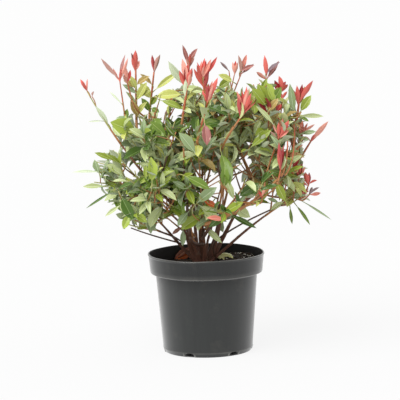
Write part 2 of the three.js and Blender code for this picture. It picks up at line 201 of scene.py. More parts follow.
def rounded_outline(corners):
    """A turned piece's outline from rows of radius, height, rounding and step. Each corner is cut back by its
    rounding and bridged by a quadratic curve, and the straight run after it is divided at that step."""
    places = np.array([corner[:2] for corner in corners])
    bridge = np.linspace(0, 1, ROUNDING_STEPS)[:, None]
    runs = []
    leave = places[0]
    for i in range(1, len(corners)):
        last = i == len(corners) - 1
        rounding = 0.0 if last else corners[i][2]
        reach = places[i] + unit(places[i - 1] - places[i]) * rounding
        steps = int(np.ceil(np.linalg.norm(reach - leave) / corners[i - 1][3]))
        runs.append(leave + (reach - leave) * np.linspace(0, 1, steps + 1)[:, None])
        if rounding:
            leave = places[i] + unit(places[i + 1] - places[i]) * rounding
            curve = (1 - bridge) ** 2 * reach + 2 * bridge * (1 - bridge) * places[i] + bridge**2 * leave
            runs[-1] = np.concatenate([runs[-1][:-1], curve[:-1]])
        else:
            leave = places[i]
            runs[-1] = runs[-1][:-1]
    return np.concatenate([*runs, places[-1:]])


def turned(outline, sides):
    """Rings of an outline of radius and height turned round the upright axis, from the front to the right,
    and the bearing of each point of a ring."""
    bearing = 2 * np.pi * np.arange(sides) / sides
    radius, height = outline[:, :1], outline[:, 1:]
    rings = np.stack([radius * np.sin(bearing), -radius * np.cos(bearing), height + 0 * bearing], axis=-1)
    return rings, bearing


def closed_rings(rings, first, last):
    """Closed skins: rings is (shapes, steps, sides, 3), and first and last (shapes, 3) are the points that
    close the two ends. Gives the points, the quads from ring to ring and the triangles at the ends."""
    shapes, steps, sides, _ = rings.shape
    points = np.concatenate([rings.reshape(shapes, -1, 3), first[:, None], last[:, None]], axis=1)
    at = np.arange(steps * sides).reshape(steps, sides)
    beside = np.roll(at, -1, axis=1)
    quads = np.stack([at[:-1], beside[:-1], beside[1:], at[1:]], axis=-1).reshape(-1, 4)
    start = np.stack([beside[0], at[0], np.full(sides, steps * sides)], axis=-1)
    end = np.stack([at[-1], beside[-1], np.full(sides, steps * sides + 1)], axis=-1)
    offset = (np.arange(shapes) * (steps * sides + 2))[:, None, None]
    triangles = np.concatenate([start, end])
    return points.reshape(-1, 3), (quads + offset).reshape(-1, 4), (triangles + offset).reshape(-1, 3)


def add_piece(name, nodes, skin, materials, worn=None, creased=None):
    """A piece at the origin from a skin of points, quads and triangles. Its faces are turned outwards by the
    sign of the volume that they enclose. worn gives each face's material, and creased the points along sharp
    edges."""
    points, quads, triangles = skin
    fans = np.concatenate([quads[:, [0, 1, 2]], quads[:, [0, 2, 3]], triangles])
    a, b, c = (points[fans[:, i]] for i in range(3))
    if np.sum(a * np.cross(b, c)) < 0:
        quads, triangles = quads[:, ::-1], triangles[:, ::-1]
    mesh = bpy.data.meshes.new(name)
    corners = np.concatenate([quads.ravel(), triangles.ravel()])
    starts = np.concatenate([4 * np.arange(len(quads)), 4 * len(quads) + 3 * np.arange(len(triangles))])
    mesh.vertices.add(len(points))
    mesh.vertices.foreach_set("co", (points * MM).ravel())
    mesh.loops.add(len(corners))
    mesh.loops.foreach_set("vertex_index", corners.astype(np.int32))
    mesh.polygons.add(len(starts))
    mesh.polygons.foreach_set("loop_start", starts.astype(np.int32))
    mesh.polygons.foreach_set("use_smooth", np.ones(len(starts), bool))
    for material in materials:
        mesh.materials.append(material)
    if worn is not None:
        mesh.polygons.foreach_set("material_index", worn.astype(np.int32))
    mesh.update(calc_edges=True)
    if creased is not None:
        ends = np.empty(2 * len(mesh.edges), np.int32)
        mesh.edges.foreach_get("vertices", ends)
        mesh.edges.foreach_set("use_edge_sharp", creased[ends].reshape(-1, 2).all(axis=1))
    piece = bpy.data.objects.new(name, mesh)
    scene.collection.objects.link(piece)
    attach(piece, "root")
    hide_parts(*nodes)
    return piece


def add_node(tree, kind, output, inputs, **settings):
    """Adds one node with its settings and gives one of its outputs. Each of its inputs gets a value, or a
    link from another node's output."""
    made = tree.nodes.new(kind)
    for setting, value in settings.items():
        setattr(made, setting, value)
    for socket, value in inputs.items():
        if isinstance(value, bpy.types.NodeSocket):
            tree.links.new(value, made.inputs[socket])
        else:
            made.inputs[socket].default_value = value
    return made.outputs[output]


# Moulded polypropylene, black right through: a dull sheen that turns pale where it is seen edge on, faint
# upright flow streaks from the mould, and dry dust and rubs that stand out a shade paler. Pale lines on the
# foot bead, the collar's foot, the rim and the notch lips are partly chafing and partly painted highlight.
# The collar and the band just under it keep a painted shade: lower down the body turns a little paler.
FLOW_STREAK = 9.0
FLOW_STREAK_LENGTH = 250.0
RUB = 26.0
RUBBED_FROM = 0.56
GRAIN = 1.6
GRAIN_DEPTH = 0.15
# Painted shade on the collar and the band just under it: full above the first height, gone below the second,
# where the body is paler by that share.
COLLAR_SHADE_FADES_FROM = 126.0
COLLAR_SHADE_GONE_AT = 100.0
PALING_BELOW_SHADE = 0.2
pot_plastic, tree, shader = new_material("moulded_black_polypropylene", roughness=0.24, ior=1.46)
place = add_node(tree, "ShaderNodeTexCoord", "Object", {})
streak_scale = [1 / (size * MM) for size in (FLOW_STREAK, FLOW_STREAK, FLOW_STREAK_LENGTH)]
streak_place = add_node(tree, "ShaderNodeMapping", "Vector", {"Vector": place, "Scale": streak_scale})
streaks = add_node(tree, "ShaderNodeTexNoise", "Fac", {"Vector": streak_place, "Scale": 1.0, "Detail": 3.0})
rub_pattern = {"Vector": place, "Scale": 1 / (RUB * MM), "Detail": 5.0, "Roughness": 0.62}
rubs = add_node(tree, "ShaderNodeTexNoise", "Fac", rub_pattern)
rub_range = {"Value": rubs, "From Min": RUBBED_FROM, "From Max": 1.0}
rub_share = add_node(tree, "ShaderNodeMapRange", "Result", rub_range)
# Pale edge lines where the pot's edges catch the light: partly chafing, partly painted highlight.
edge_wear_and_highlight = add_node(tree, "ShaderNodeAttribute", "Fac", {}, attribute_name="edge_wear_and_highlight")
rubbed_and_highlit_edges = {0: edge_wear_and_highlight, 1: rubs}
chafed_and_highlit = add_node(tree, "ShaderNodeMath", "Value", rubbed_and_highlit_edges, operation="MULTIPLY", use_clamp=True)
rise = add_node(tree, "ShaderNodeSeparateXYZ", "Z", {"Vector": place})
# Painted shade on the collar and just under it: the body below turns a little paler.
collar_shade_range = {"Value": rise, "From Min": COLLAR_SHADE_FADES_FROM * MM, "From Max": COLLAR_SHADE_GONE_AT * MM, "To Max": PALING_BELOW_SHADE}
out_of_collar_shade = add_node(tree, "ShaderNodeMapRange", "Result", collar_shade_range)
toned = linear(POT_BLACK)
tones = ((streaks, POT_WORN), (rub_share, POT_DUST), (chafed_and_highlit, POT_SCUFF_AND_HIGHLIGHT), (out_of_collar_shade, POT_BELOW_SHADE_GREY))
for share, tone in tones:
    layers = {"Factor": share, "A": toned, "B": linear(tone)}
    toned = add_node(tree, "ShaderNodeMix", "Result", layers, data_type="RGBA")
tree.links.new(toned, shader.inputs["Base Color"])
shader.inputs["Sheen Weight"].default_value = 0.42
shader.inputs["Sheen Roughness"].default_value = 0.44
grain_pattern = {"Vector": place, "Scale": 1 / (GRAIN * MM), "Detail": 2.0}
grain = add_node(tree, "ShaderNodeTexNoise", "Fac", grain_pattern)
pits = {"Height": grain, "Strength": 0.1, "Distance": GRAIN_DEPTH * MM}
tree.links.new(add_node(tree, "ShaderNodeBump", "Normal", pits), shader.inputs["Normal"])

# The same plastic inside: dull, without sheen and darker than the outside as painted shade in the pot's
# hollow, with brown stains of peat that watering has washed up its wall.
pot_inside, tree, shader = new_material("peat_stained_and_shaded_polypropylene", roughness=0.62, ior=1.4)
place = add_node(tree, "ShaderNodeTexCoord", "Object", {})
film = add_node(tree, "ShaderNodeTexNoise", "Fac", {"Vector": place, "Scale": 2 / (RUB * MM), "Detail": 4.0})
stains = {"Factor": film, "A": linear(POT_INSIDE), "B": linear(POT_STAIN)}
stained = add_node(tree, "ShaderNodeMix", "Result", stains, data_type="RGBA")
tree.links.new(stained, shader.inputs["Base Color"])


def waves_round(bearing, waves):
    """The sum of waves round the pot, each with its number of crests, its phase and its weight."""
    return sum(weight * np.sin(crests * bearing + phase) for crests, phase, weight in waves)


# The outline runs from the middle of the foot outwards, up the outside, over the rim and down the inside.
collar_foot = POT_HEIGHT - COLLAR_HEIGHT
bead_height = FOOT_CHAMFER + FOOT_BEAD_RISE
FINE, COARSE = 0.8, 8.0
pot_outline = rounded_outline([
    (0, 0, 0, 60),
    (FOOT_RADIUS - NOTCH_DEPTH - 2, 0, 0, FINE),
    (FOOT_RADIUS - FOOT_CHAMFER, 0, 0.8, FINE),
    (FOOT_RADIUS - 0.3, FOOT_CHAMFER + 2, 1.2, FINE),
    (FOOT_RADIUS + FOOT_BEAD, bead_height, 0.6, FINE),
    (FOOT_RADIUS + 0.5, FOOT_CHAMFER + 5.6, 0.6, FINE),
    (FOOT_RADIUS + 0.8, 14, 0, COARSE),
    (BODY_TOP_RADIUS, collar_foot - POT_WALL, 2.2, 3),
    (COLLAR_FOOT_RADIUS, collar_foot, 1.4, COARSE),
    (RIM_RADIUS - RIM_BEAD, POT_HEIGHT - 3.2, 1.0, FINE),
    (RIM_RADIUS + RIM_BEAD, POT_HEIGHT - 1.6, 0.9, FINE),
    (RIM_RADIUS - 0.2, POT_HEIGHT, 0.8, FINE),
    (RIM_RADIUS - POT_WALL - 0.8, POT_HEIGHT, 0.7, 5),
    (COLLAR_FOOT_RADIUS - POT_WALL, collar_foot + POT_WALL, 1.4, 5),
    (BODY_TOP_RADIUS - POT_WALL, collar_foot, 1.0, COARSE),
    (FOOT_RADIUS - POT_WALL, POT_INNER_FLOOR, 1.5, 20),
    (0, POT_INNER_FLOOR, 0, 20),
])
pot_rings, bearing = turned(pot_outline, POT_SIDES)
radius, height = pot_outline[:, :1], pot_outline[:, 1:]
notch_step = 2 * np.pi / NOTCHES
off_notch = (bearing - np.radians(NOTCH_BEARING) + notch_step / 2) % notch_step - notch_step / 2
across_notch = FOOT_RADIUS * off_notch / (NOTCH_WIDTH / 2)
arch = NOTCH_HEIGHT * np.sqrt(np.clip(1 - across_notch**NOTCH_SQUARENESS, 0, 1))
outside = np.arange(len(pot_outline))[:, None] < len(pot_outline) // 2
outer_foot = outside & (radius > FOOT_RADIUS - NOTCH_DEPTH)
pot_rings[..., 2] = np.where(outer_foot, np.maximum(height, arch), height)
off_lip = (np.abs(across_notch) - NOTCH_LIP_PLACE) / NOTCH_LIP_SPREAD
lip_share = np.exp(-(off_lip**2)) * np.clip(1 - height / NOTCH_LIP_HEIGHT, 0, 1)
lip_share = lip_share * (radius > FOOT_RADIUS - FOOT_CHAMFER - HAIR)
mouth = np.clip(height / POT_HEIGHT, 0, 1) ** 2
oval = waves_round(bearing, OVAL_WAVES)
push = (NOTCH_LIP * lip_share + OUT_OF_ROUND * mouth * oval) * (radius > HAIR)
pot_rings[..., 0] += push * np.sin(bearing)
pot_rings[..., 1] -= push * np.cos(bearing)
pot_rings[..., 2] += WAVY_RIM * mouth**2 * waves_round(bearing, RIM_WAVES)
past_rim = np.arange(len(pot_outline)) > np.flatnonzero(pot_outline[:, 1] > POT_HEIGHT - HAIR)[-1]
pot_worn = np.concatenate([np.repeat(past_rim[2:-1], POT_SIDES), np.repeat([False, True], POT_SIDES)])
pot_piece = add_piece(
    "nursery_pot",
    ["pot"],
    closed_rings(pot_rings[None, 1:-1], pot_rings[:1, 0], pot_rings[-1:, 0]),
    [pot_plastic, pot_inside],
    pot_worn,
)
# Pale lines, partly chafing and partly painted highlight, on the foot bead, the collar's foot, the rim and
# the notch lips.
on_edges = np.zeros((len(pot_outline), 1))
for edge_radius, edge_height, wear_and_highlight in (
    (FOOT_RADIUS + FOOT_BEAD, bead_height, FOOT_WEAR_AND_HIGHLIGHT),
    (COLLAR_FOOT_RADIUS, collar_foot, COLLAR_WEAR_AND_HIGHLIGHT),
    (RIM_RADIUS, POT_HEIGHT, RIM_WEAR_AND_HIGHLIGHT),
):
    gap = np.hypot(radius - edge_radius, height - edge_height)
    on_edges = np.maximum(on_edges, wear_and_highlight * np.exp(-((gap / WEAR_AND_HIGHLIGHT_REACH) ** 2)))
edge_wear_and_highlight = np.maximum(on_edges, LIP_WEAR_AND_HIGHLIGHT * lip_share)[1:-1].ravel()
wear_and_highlight_layer = pot_piece.data.attributes.new("edge_wear_and_highlight", "FLOAT", "POINT")
wear_and_highlight_layer.data.foreach_set("value", np.concatenate([edge_wear_and_highlight, [0, 0]]).astype(np.float32))

# Potting soil
# Moist peat and composted bark, pressed in by hand and settled lower at the wall, with loose crumbs and
# chips of bark on top and a few white grains of perlite.
SOIL_LEVEL = 141.0
SOIL_EDGE_DROP = 4.0
SOIL_FLAT_RADIUS = 45.0
SOIL_EDGE_RADIUS = 89.6
SOIL_ROUGH = 1.5
SOIL_LUMP = 9.0
SOIL_CRUMB = 4.0
SOIL_CRUMB_SHARE = 0.6
SOIL_HEAP = 14.0
SOIL_HEAP_PLACE = np.array([56.0, 28.0, 0.0])
SOIL_HEAP_RADIUS = 44.0
SOIL_SIDES = 180
SOIL_SEED = 11
CRUMBS = 900
CRUMB_LENGTH = (1.6, 6.5)
CRUMB_SLENDERNESS = (0.35, 0.8)
CRUMB_CLEARANCE = 6.0
CRUMB_LIES = 0.3
MOSTLY_SMALL = 2.5
PERLITE = 90
PERLITE_SIZE = (1.2, 2.6)
PERLITE_SLENDERNESS = 0.9
PERLITE_SPREAD = 0.45
PERLITE_CLEARANCE = 5.0
PERLITE_LIES = 0.4
SOIL_DARK = "#17100B"
SOIL_BROWN = "#3A281B"
CHIP_BROWN = "#4A3324"
PERLITE_WHITE = "#E9E6DC"
LATTICE_PRIMES = (73856093, 19349663, 83492791)
SEED_PRIME, MIXING_PRIME = 40503, 1274126177
SHORT_RANGE, LONG_RANGE = 0xFFFF, 0xFFFFFFFF


def lumps(points, size, seed):
    """Smooth random lumps from -1 to 1: a scrambled value at each corner of a lattice of that cell size,
    eased from corner to corner in all three directions."""
    cell = points / size
    corner = np.floor(cell).astype(np.int64)
    ease = cell - corner
    ease = ease * ease * (3 - 2 * ease)
    total = np.zeros(points.shape[:-1])
    for step in itertools.product((0, 1), repeat=3):
        at = corner + step
        mixed = np.bitwise_xor.reduce(at * LATTICE_PRIMES, axis=-1) ^ seed * SEED_PRIME
        mixed = ((mixed ^ (mixed >> 13)) * MIXING_PRIME) & LONG_RANGE
        value = 2 * ((mixed ^ (mixed >> 16)) & SHORT_RANGE) / SHORT_RANGE - 1
        total += value * np.prod(np.where(step, ease, 1 - ease), axis=-1)
    return total


def soil_height(points):
    """The soil's level at places across the pot: flat round the stems, eased down to the wall, heaped up on
    one side in a bell shape, and lumpy."""
    out = np.linalg.norm(points[..., :2], axis=-1)
    edge = np.clip((out - SOIL_FLAT_RADIUS) / (SOIL_EDGE_RADIUS - SOIL_FLAT_RADIUS), 0, 1)
    flat = np.concatenate([points[..., :2], 0 * points[..., :1]], axis=-1)
    rough = lumps(flat, SOIL_LUMP, seed=3) + SOIL_CRUMB_SHARE * lumps(flat, SOIL_CRUMB, seed=4)
    heap = np.exp(-np.sum(((flat - SOIL_HEAP_PLACE) / SOIL_HEAP_RADIUS) ** 2, axis=-1))
    level = SOIL_LEVEL - SOIL_EDGE_DROP * edge * edge * (3 - 2 * edge)
    return level + SOIL_HEAP * heap + SOIL_ROUGH * rough


# Moist peat: almost black, browner on the crumbs that have dried, and quite dull.
PEAT_GRAIN = 5.0
PEAT_GRAIN_DEPTH = 1.5
peat, tree, shader = new_material("moist_peat_and_bark", roughness=0.9, ior=1.45)
place = add_node(tree, "ShaderNodeTexCoord", "Object", {})
peat_pattern = {"Vector": place, "Scale": 1 / (PEAT_GRAIN * MM), "Detail": 6.0}
peat_noise = add_node(tree, "ShaderNodeTexNoise", "Fac", peat_pattern)
dry_range = {"Value": peat_noise, "From Min": 0.42, "From Max": 0.72}
dryness = add_node(tree, "ShaderNodeMapRange", "Result", dry_range)
browns = {"Factor": dryness, "A": linear(SOIL_DARK), "B": linear(SOIL_BROWN)}
browned = add_node(tree, "ShaderNodeMix", "Result", browns, data_type="RGBA")
tree.links.new(browned, shader.inputs["Base Color"])
crumbled = {"Height": peat_noise, "Strength": 0.6, "Distance": PEAT_GRAIN_DEPTH * MM}
tree.links.new(add_node(tree, "ShaderNodeBump", "Normal", crumbled), shader.inputs["Normal"])

soil_outline = rounded_outline([
    (0, POT_INNER_FLOOR + 0.5, 0, 60),
    (FOOT_RADIUS - POT_WALL - 0.6, POT_INNER_FLOOR + 0.5, 0, 60),
    (BODY_TOP_RADIUS - POT_WALL - 0.6, collar_foot + 0.3, 0, 6),
    (SOIL_EDGE_RADIUS - 0.9, collar_foot + POT_WALL + 0.6, 0, 3),
    (SOIL_EDGE_RADIUS, SOIL_LEVEL - SOIL_EDGE_DROP, 0, 1.2),
    (0, SOIL_LEVEL, 0, 1),
])
soil_rings, bearing = turned(soil_outline, SOIL_SIDES)
on_top = soil_outline[:, 1:] >= SOIL_LEVEL - SOIL_EDGE_DROP
soil_rings[..., 2] = np.where(on_top, soil_height(soil_rings), soil_rings[..., 2])
add_piece(
    "potting_soil_bed",
    ["potting_soil"],
    closed_rings(soil_rings[None, 1:-1], soil_rings[:1, 0], soil_rings[-1:, 0]),
    [peat],
)

# Bark chips: dry, fibrous and paler than the peat. Perlite: puffed white grains, chalky.
CHIP_GRAIN = 7.0
chip_bark, tree, shader = new_material("composted_bark_chips", roughness=0.85, ior=1.5)
place = add_node(tree, "ShaderNodeTexCoord", "Object", {})
chip_pattern = {"Vector": place, "Scale": 1 / (CHIP_GRAIN * MM), "Detail": 3.0}
chip_noise = add_node(tree, "ShaderNodeTexNoise", "Fac", chip_pattern)
chip_browns = {"Factor": chip_noise, "A": linear(SOIL_DARK), "B": linear(CHIP_BROWN)}
chip_browned = add_node(tree, "ShaderNodeMix", "Result", chip_browns, data_type="RGBA")
tree.links.new(chip_browned, shader.inputs["Base Color"])
perlite, tree, shader = new_material("puffed_perlite", roughness=0.95, ior=1.5)
shader.inputs["Base Color"].default_value = linear(PERLITE_WHITE)

CRUMB_RINGS = np.array([(-0.7, 0.7), (0.05, 1.0), (0.75, 0.62)])
CRUMB_SIDES = 5
CRUMB_LIES_FLAT = np.array([1.0, 1.0, 0.45])
CRUMB_GIRTH_VARIES = (0.7, 1.2)
CRUMB_FLATNESS = 0.7


def scattered_crumbs(places, lengths, slenderness, draw):
    """Closed lumps: three uneven rings of five points along a line of that length, turned every way but
    rarely upright, and a little flattened."""
    count = len(places)
    long_way = unit(draw.normal(size=(count, 3)) * CRUMB_LIES_FLAT)
    wide_way = unit(np.cross(long_way, draw.normal(size=(count, 3))))
    thick_way = np.cross(long_way, wide_way)
    turn = 2 * np.pi * np.arange(CRUMB_SIDES) / CRUMB_SIDES
    uneven = draw.uniform(*CRUMB_GIRTH_VARIES, (count, len(CRUMB_RINGS), CRUMB_SIDES))
    girth = CRUMB_RINGS[:, 1, None] * uneven
    half = (lengths / 2)[:, None, None, None]
    thin = (lengths / 2 * slenderness)[:, None, None, None]
    rings = places[:, None, None] + half * CRUMB_RINGS[:, 0, None, None] * long_way[:, None, None]
    rings = rings + thin * (girth * np.cos(turn))[..., None] * wide_way[:, None, None]
    rings = rings + CRUMB_FLATNESS * thin * (girth * np.sin(turn))[..., None] * thick_way[:, None, None]
    ends = half[:, 0, 0] * long_way
    return closed_rings(rings, places - ends, places + ends)


def between(span, share):
    """The value at a share of the way from a span's start to its end."""
    return span[0] + (span[1] - span[0]) * share


def on_soil(count, draw):
    """Places strewn evenly over the soil, clear of the wall."""
    out = (SOIL_EDGE_RADIUS - CRUMB_CLEARANCE) * np.sqrt(draw.uniform(0, 1, count))
    round_about = draw.uniform(0, 2 * np.pi, count)
    places = np.stack([out * np.cos(round_about), out * np.sin(round_about), 0 * out], axis=-1)
    places[:, 2] = soil_height(places) + CRUMB_LIES
    return places


def on_heap(count, draw):
    """Places strewn over the heap, thickest at its middle, and drawn in to stay clear of the wall."""
    places = SOIL_HEAP_PLACE + draw.normal(0, PERLITE_SPREAD * SOIL_HEAP_RADIUS, (count, 3)) * [1, 1, 0]
    out = np.linalg.norm(places, axis=-1, keepdims=True)
    places = places * np.minimum(1, (SOIL_EDGE_RADIUS - PERLITE_CLEARANCE) / out)
    places[:, 2] = soil_height(places) + PERLITE_LIES
    return places


soil_draw = np.random.default_rng(SOIL_SEED)
crumb_places = on_soil(CRUMBS, soil_draw)
crumb_lengths = between(CRUMB_LENGTH, soil_draw.uniform(0, 1, CRUMBS) ** MOSTLY_SMALL)
crumb_slenderness = soil_draw.uniform(*CRUMB_SLENDERNESS, CRUMBS)
chip_skins = scattered_crumbs(crumb_places, crumb_lengths, crumb_slenderness, soil_draw)
add_piece("bark_chips", ["potting_soil"], chip_skins, [chip_bark])
perlite_sizes = soil_draw.uniform(*PERLITE_SIZE, PERLITE)
perlite_places = on_heap(PERLITE, soil_draw)
perlite_skins = scattered_crumbs(perlite_places, perlite_sizes, PERLITE_SLENDERNESS, soil_draw)
add_piece("perlite_grains", ["potting_soil"], perlite_skins, [perlite])

# Stool and boughs
# The woody foot that the plant was cut back to and the many stems that broke from it, each a living limb
# with thin red-brown bark, ridged lengthwise, with low rings where leaves have dropped off.
STOOL_CENTRE = np.array([-5.0, 0.0, SOIL_LEVEL])
STOOL_RING = 13.0
STOOL_FOOT_RADIUS = 18.0
STOOL_HEIGHT = 15.0
FOOT_FLARE_LENGTH = 34.0
FOOT_FLARE = 1.35
FOOT_PINCH = 5.0
FOOT_PINCH_LENGTH = 60.0
FOOT_SUNK = 4.0
STOOL_SIDES = 96
STOOL_LOBES = 0.09
STOOL_SKEW = 0.05
STOOL_KNOB = 5.0
STOOL_KNOB_RISE = 0.9
STOOL_KNOB_STRETCH = np.array([1.0, 1.0, 0.5])
STOOL_KNOB_DROP = np.array([0.0, 0.0, 8.0])
COLLAR_SWELL = 1.3
COLLAR_SWELL_LENGTH = 7.0
THINNEST_STEM = 1.7
GIRTH_BY_HEIGHT = 0.0088
SIDE_BOUGH_GIRTH = 0.62
BOUGH_TIP_RADIUS = 1.5
LOW_HEIGHT = 210.0
TALL_HEIGHT = 500.0
LOW_BOW = (0.46, 0.66)
TALL_BOW = (0.48, 0.52)
SIDE_BOW = (0.58, 0.42)
BOUGH_SIDES = 16
RING_STEP = 2.2
CHORD_ENDS = 201
LEAF_SCAR_STEP = 17.0
LEAF_SCAR_RISE = 0.45
LEAF_SCAR_REACH = 2.2
LEAF_SCAR_TURN = 2.4
RIDGE = 0.11
RIDGE_SCALE = np.array([1.6, 1.6, 1 / 26])
WRINKLE = 0.07
WRINKLE_SCALE = np.array([3.4, 3.4, 1 / 7])
WRINKLE_SEED = 50
WANDER = 3.0
WANDER_SEED = 90
WANDER_LENGTH = 45.0
WANDER_EASE = 40.0
# Each bough: the bough that carries it and how far along, or none where it springs from the stool; the
# bearing of its tip round from the front, right of it positive; the tip's reach out from the pot's axis and
# height over the floor; and the share of its length that is bare wood.
BOUGHS = {
    "crest": dict(bearing=-75, reach=30, height=478, bare=0.28),
    "top_front": dict(carrier="crest", fork=0.2, bearing=28, reach=88, height=460, bare=0.24),
    "front": dict(bearing=-4, reach=146, height=376, bare=0.36),
    "front_low": dict(carrier="front", fork=0.26, bearing=26, reach=146, height=292, bare=0.3),
    "right_low": dict(bearing=80, reach=170, height=266, bare=0.6),
    "top_right": dict(bearing=82, reach=94, height=468, bare=0.3),
    "right_high": dict(bearing=88, reach=168, height=430, bare=0.4),
    "right_front": dict(carrier="right_high", fork=0.26, bearing=54, reach=156, height=368, bare=0.32),
    "right": dict(carrier="right_high", fork=0.32, bearing=104, reach=184, height=346, bare=0.3),
    "back_right_high": dict(bearing=134, reach=136, height=436, bare=0.36),
    "back_right": dict(carrier="back_right_high", fork=0.24, bearing=142, reach=184, height=330, bare=0.3),
    "back_low": dict(bearing=168, reach=158, height=262, bare=0.45),
    "back_high": dict(bearing=178, reach=96, height=456, bare=0.34),
    "back": dict(carrier="back_high", fork=0.22, bearing=-168, reach=182, height=354, bare=0.28),
    "back_left_high": dict(bearing=-136, reach=138, height=430, bare=0.36),
    "back_left": dict(carrier="back_left_high", fork=0.24, bearing=-124, reach=184, height=322, bare=0.3),
    "left": dict(bearing=-90, reach=178, height=310, bare=0.36),
    "left_low": dict(carrier="left", fork=0.26, bearing=-60, reach=126, height=228, bare=0.34),
    "top_left": dict(bearing=-78, reach=124, height=472, bare=0.34),
    "far_left": dict(
        carrier="top_left", fork=0.28, bearing=-94, reach=188, height=428, bare=0.56, side_shoots=0
    ),
    "left_front": dict(bearing=-50, reach=146, height=388, bare=0.36),
    "left_front_low": dict(carrier="left_front", fork=0.26, bearing=-36, reach=156, height=300, bare=0.3),
}
BARK_DARK = "#311D16"
BARK_RED = "#744633"
BARK_TAN = "#8A5B3A"
BARK_GREY = "#7A6A58"


def on_bow(bow, t):
    """Places on a bow, the quadratic curve from its first point to its third that leans to its second."""
    t = np.asarray(t)[..., None]
    return (1 - t) ** 2 * bow[0] + 2 * t * (1 - t) * bow[1] + t * t * bow[2]


def at_shares(bow, shares):
    """The curve's own parameter at shares of a bow's length, read off a table of chords, and that length."""
    t = np.linspace(0, 1, CHORD_ENDS)
    chords = np.linalg.norm(np.diff(on_bow(bow, t), axis=0), axis=1)
    lengths = np.concatenate([[0], np.cumsum(chords)])
    return np.interp(np.asarray(shares) * lengths[-1], lengths, t), lengths[-1]


def along(bow, shares):
    """Places at shares of a bow's length, and its heading there."""
    t = at_shares(bow, shares)[0]
    run = t[..., None]
    return on_bow(bow, t), unit((1 - run) * (bow[1] - bow[0]) + run * (bow[2] - bow[1]))


def stretch(bow, begin, end):
    """The part of a bow between two shares of its length, as a bow of its own."""
    a, b = at_shares(bow, [begin, end])[0]
    middle = (1 - a) * (1 - b) * bow[0] + ((1 - a) * b + a * (1 - b)) * bow[1] + a * b * bow[2]
    return np.stack([on_bow(bow, a), middle, on_bow(bow, b)])


def carried(path, across, radius, sides):
    """Rings of points round a path, or round many: at each place a circle lies square to the path, begun from
    the same sideways line so that it doesn't twist. radius may vary along the path and round it."""
    heading = unit(np.gradient(path, axis=-2))
    first = unit(across - heading * np.sum(across * heading, axis=-1, keepdims=True))
    second = np.cross(heading, first)
    turn = (2 * np.pi * np.arange(sides) / sides)[:, None]
    ring = np.cos(turn) * first[..., None, :] + np.sin(turn) * second[..., None, :]
    return path[..., None, :] + radius[..., None] * ring


stool_bearings = sorted(bough["bearing"] for bough in BOUGHS.values() if "carrier" not in bough)
for bough in BOUGHS.values():
    bearing = np.radians(bough["bearing"])
    outward = np.array([np.sin(bearing), -np.cos(bearing), 0.0])
    tip = bough["reach"] * outward + [0, 0, bough["height"]]
    girth = THINNEST_STEM + (bough["height"] - SOIL_LEVEL) * GIRTH_BY_HEIGHT
    if "carrier" in bough:
        start = along(BOUGHS[bough["carrier"]]["bow"], bough["fork"])[0]
        out, up = SIDE_BOW
        bough["foot_radius"] = max(BOUGH_TIP_RADIUS, girth * SIDE_BOUGH_GIRTH)
    else:
        order = stool_bearings.index(bough["bearing"])
        stool_bearing = np.radians(stool_bearings[0] + 360 * order / len(stool_bearings))
        start = STOOL_CENTRE + STOOL_RING * np.array([np.sin(stool_bearing), -np.cos(stool_bearing), 0.0])
        tallness = np.clip((bough["height"] - LOW_HEIGHT) / (TALL_HEIGHT - LOW_HEIGHT), 0, 1)
        out, up = (np.array(LOW_BOW) + (np.array(TALL_BOW) - LOW_BOW) * tallness).tolist()
        bough["foot_radius"] = girth
    bend = start + (tip - start) * [out, out, up]
    bough["bow"] = np.stack([start, bend, tip])
    bough["across"] = np.array([np.cos(bearing), np.sin(bearing), 0.0])
    bough["length"] = at_shares(bough["bow"], 1.0)[1]

# Photinia bark: thin and smooth at first, red-brown and almost black at the foot of old stems, tan higher up
# where it is young, with fine upright cracks and a grey bloom.
STREAK_WIDTH = 1.6
STREAK_LENGTH = 14.0
BLOOM = 12.0
OLD_WOOD_RISE = 10.0
YOUNG_WOOD_RISE = 130.0
CRACK_DEPTH = 0.5
bark, tree, shader = new_material("photinia_bark", roughness=0.72, ior=1.5)
place = add_node(tree, "ShaderNodeTexCoord", "Object", {})
streak_scale = [1 / (size * MM) for size in (STREAK_WIDTH, STREAK_WIDTH, STREAK_LENGTH)]
streak_place = add_node(tree, "ShaderNodeMapping", "Vector", {"Vector": place, "Scale": streak_scale})
cracks = add_node(tree, "ShaderNodeTexNoise", "Fac", {"Vector": streak_place, "Scale": 1.0, "Detail": 4.0})
bloom_pattern = {"Vector": place, "Scale": 1 / (BLOOM * MM), "Detail": 3.0}
bloom = add_node(tree, "ShaderNodeTexNoise", "Fac", bloom_pattern)
bloom_range = {"Value": bloom, "From Min": 0.55, "From Max": 0.8, "To Max": 0.6}
bloom_share = add_node(tree, "ShaderNodeMapRange", "Result", bloom_range)
rise = add_node(tree, "ShaderNodeSeparateXYZ", "Z", {"Vector": place})
old_up_to = (SOIL_LEVEL + OLD_WOOD_RISE) * MM
young_from = (SOIL_LEVEL + YOUNG_WOOD_RISE) * MM
youth_range = {"Value": rise, "From Min": old_up_to, "From Max": young_from}
youth = add_node(tree, "ShaderNodeMapRange", "Result", youth_range)
old_colours = {"Factor": cracks, "A": linear(BARK_DARK), "B": linear(BARK_RED)}
red_browns = add_node(tree, "ShaderNodeMix", "Result", old_colours, data_type="RGBA")
young_colours = {"Factor": cracks, "A": linear(BARK_RED), "B": linear(BARK_TAN)}
tans = add_node(tree, "ShaderNodeMix", "Result", young_colours, data_type="RGBA")
ages = {"Factor": youth, "A": red_browns, "B": tans}
aged = add_node(tree, "ShaderNodeMix", "Result", ages, data_type="RGBA")
blooms = {"Factor": bloom_share, "A": aged, "B": linear(BARK_GREY)}
bloomed = add_node(tree, "ShaderNodeMix", "Result", blooms, data_type="RGBA")
tree.links.new(bloomed, shader.inputs["Base Color"])
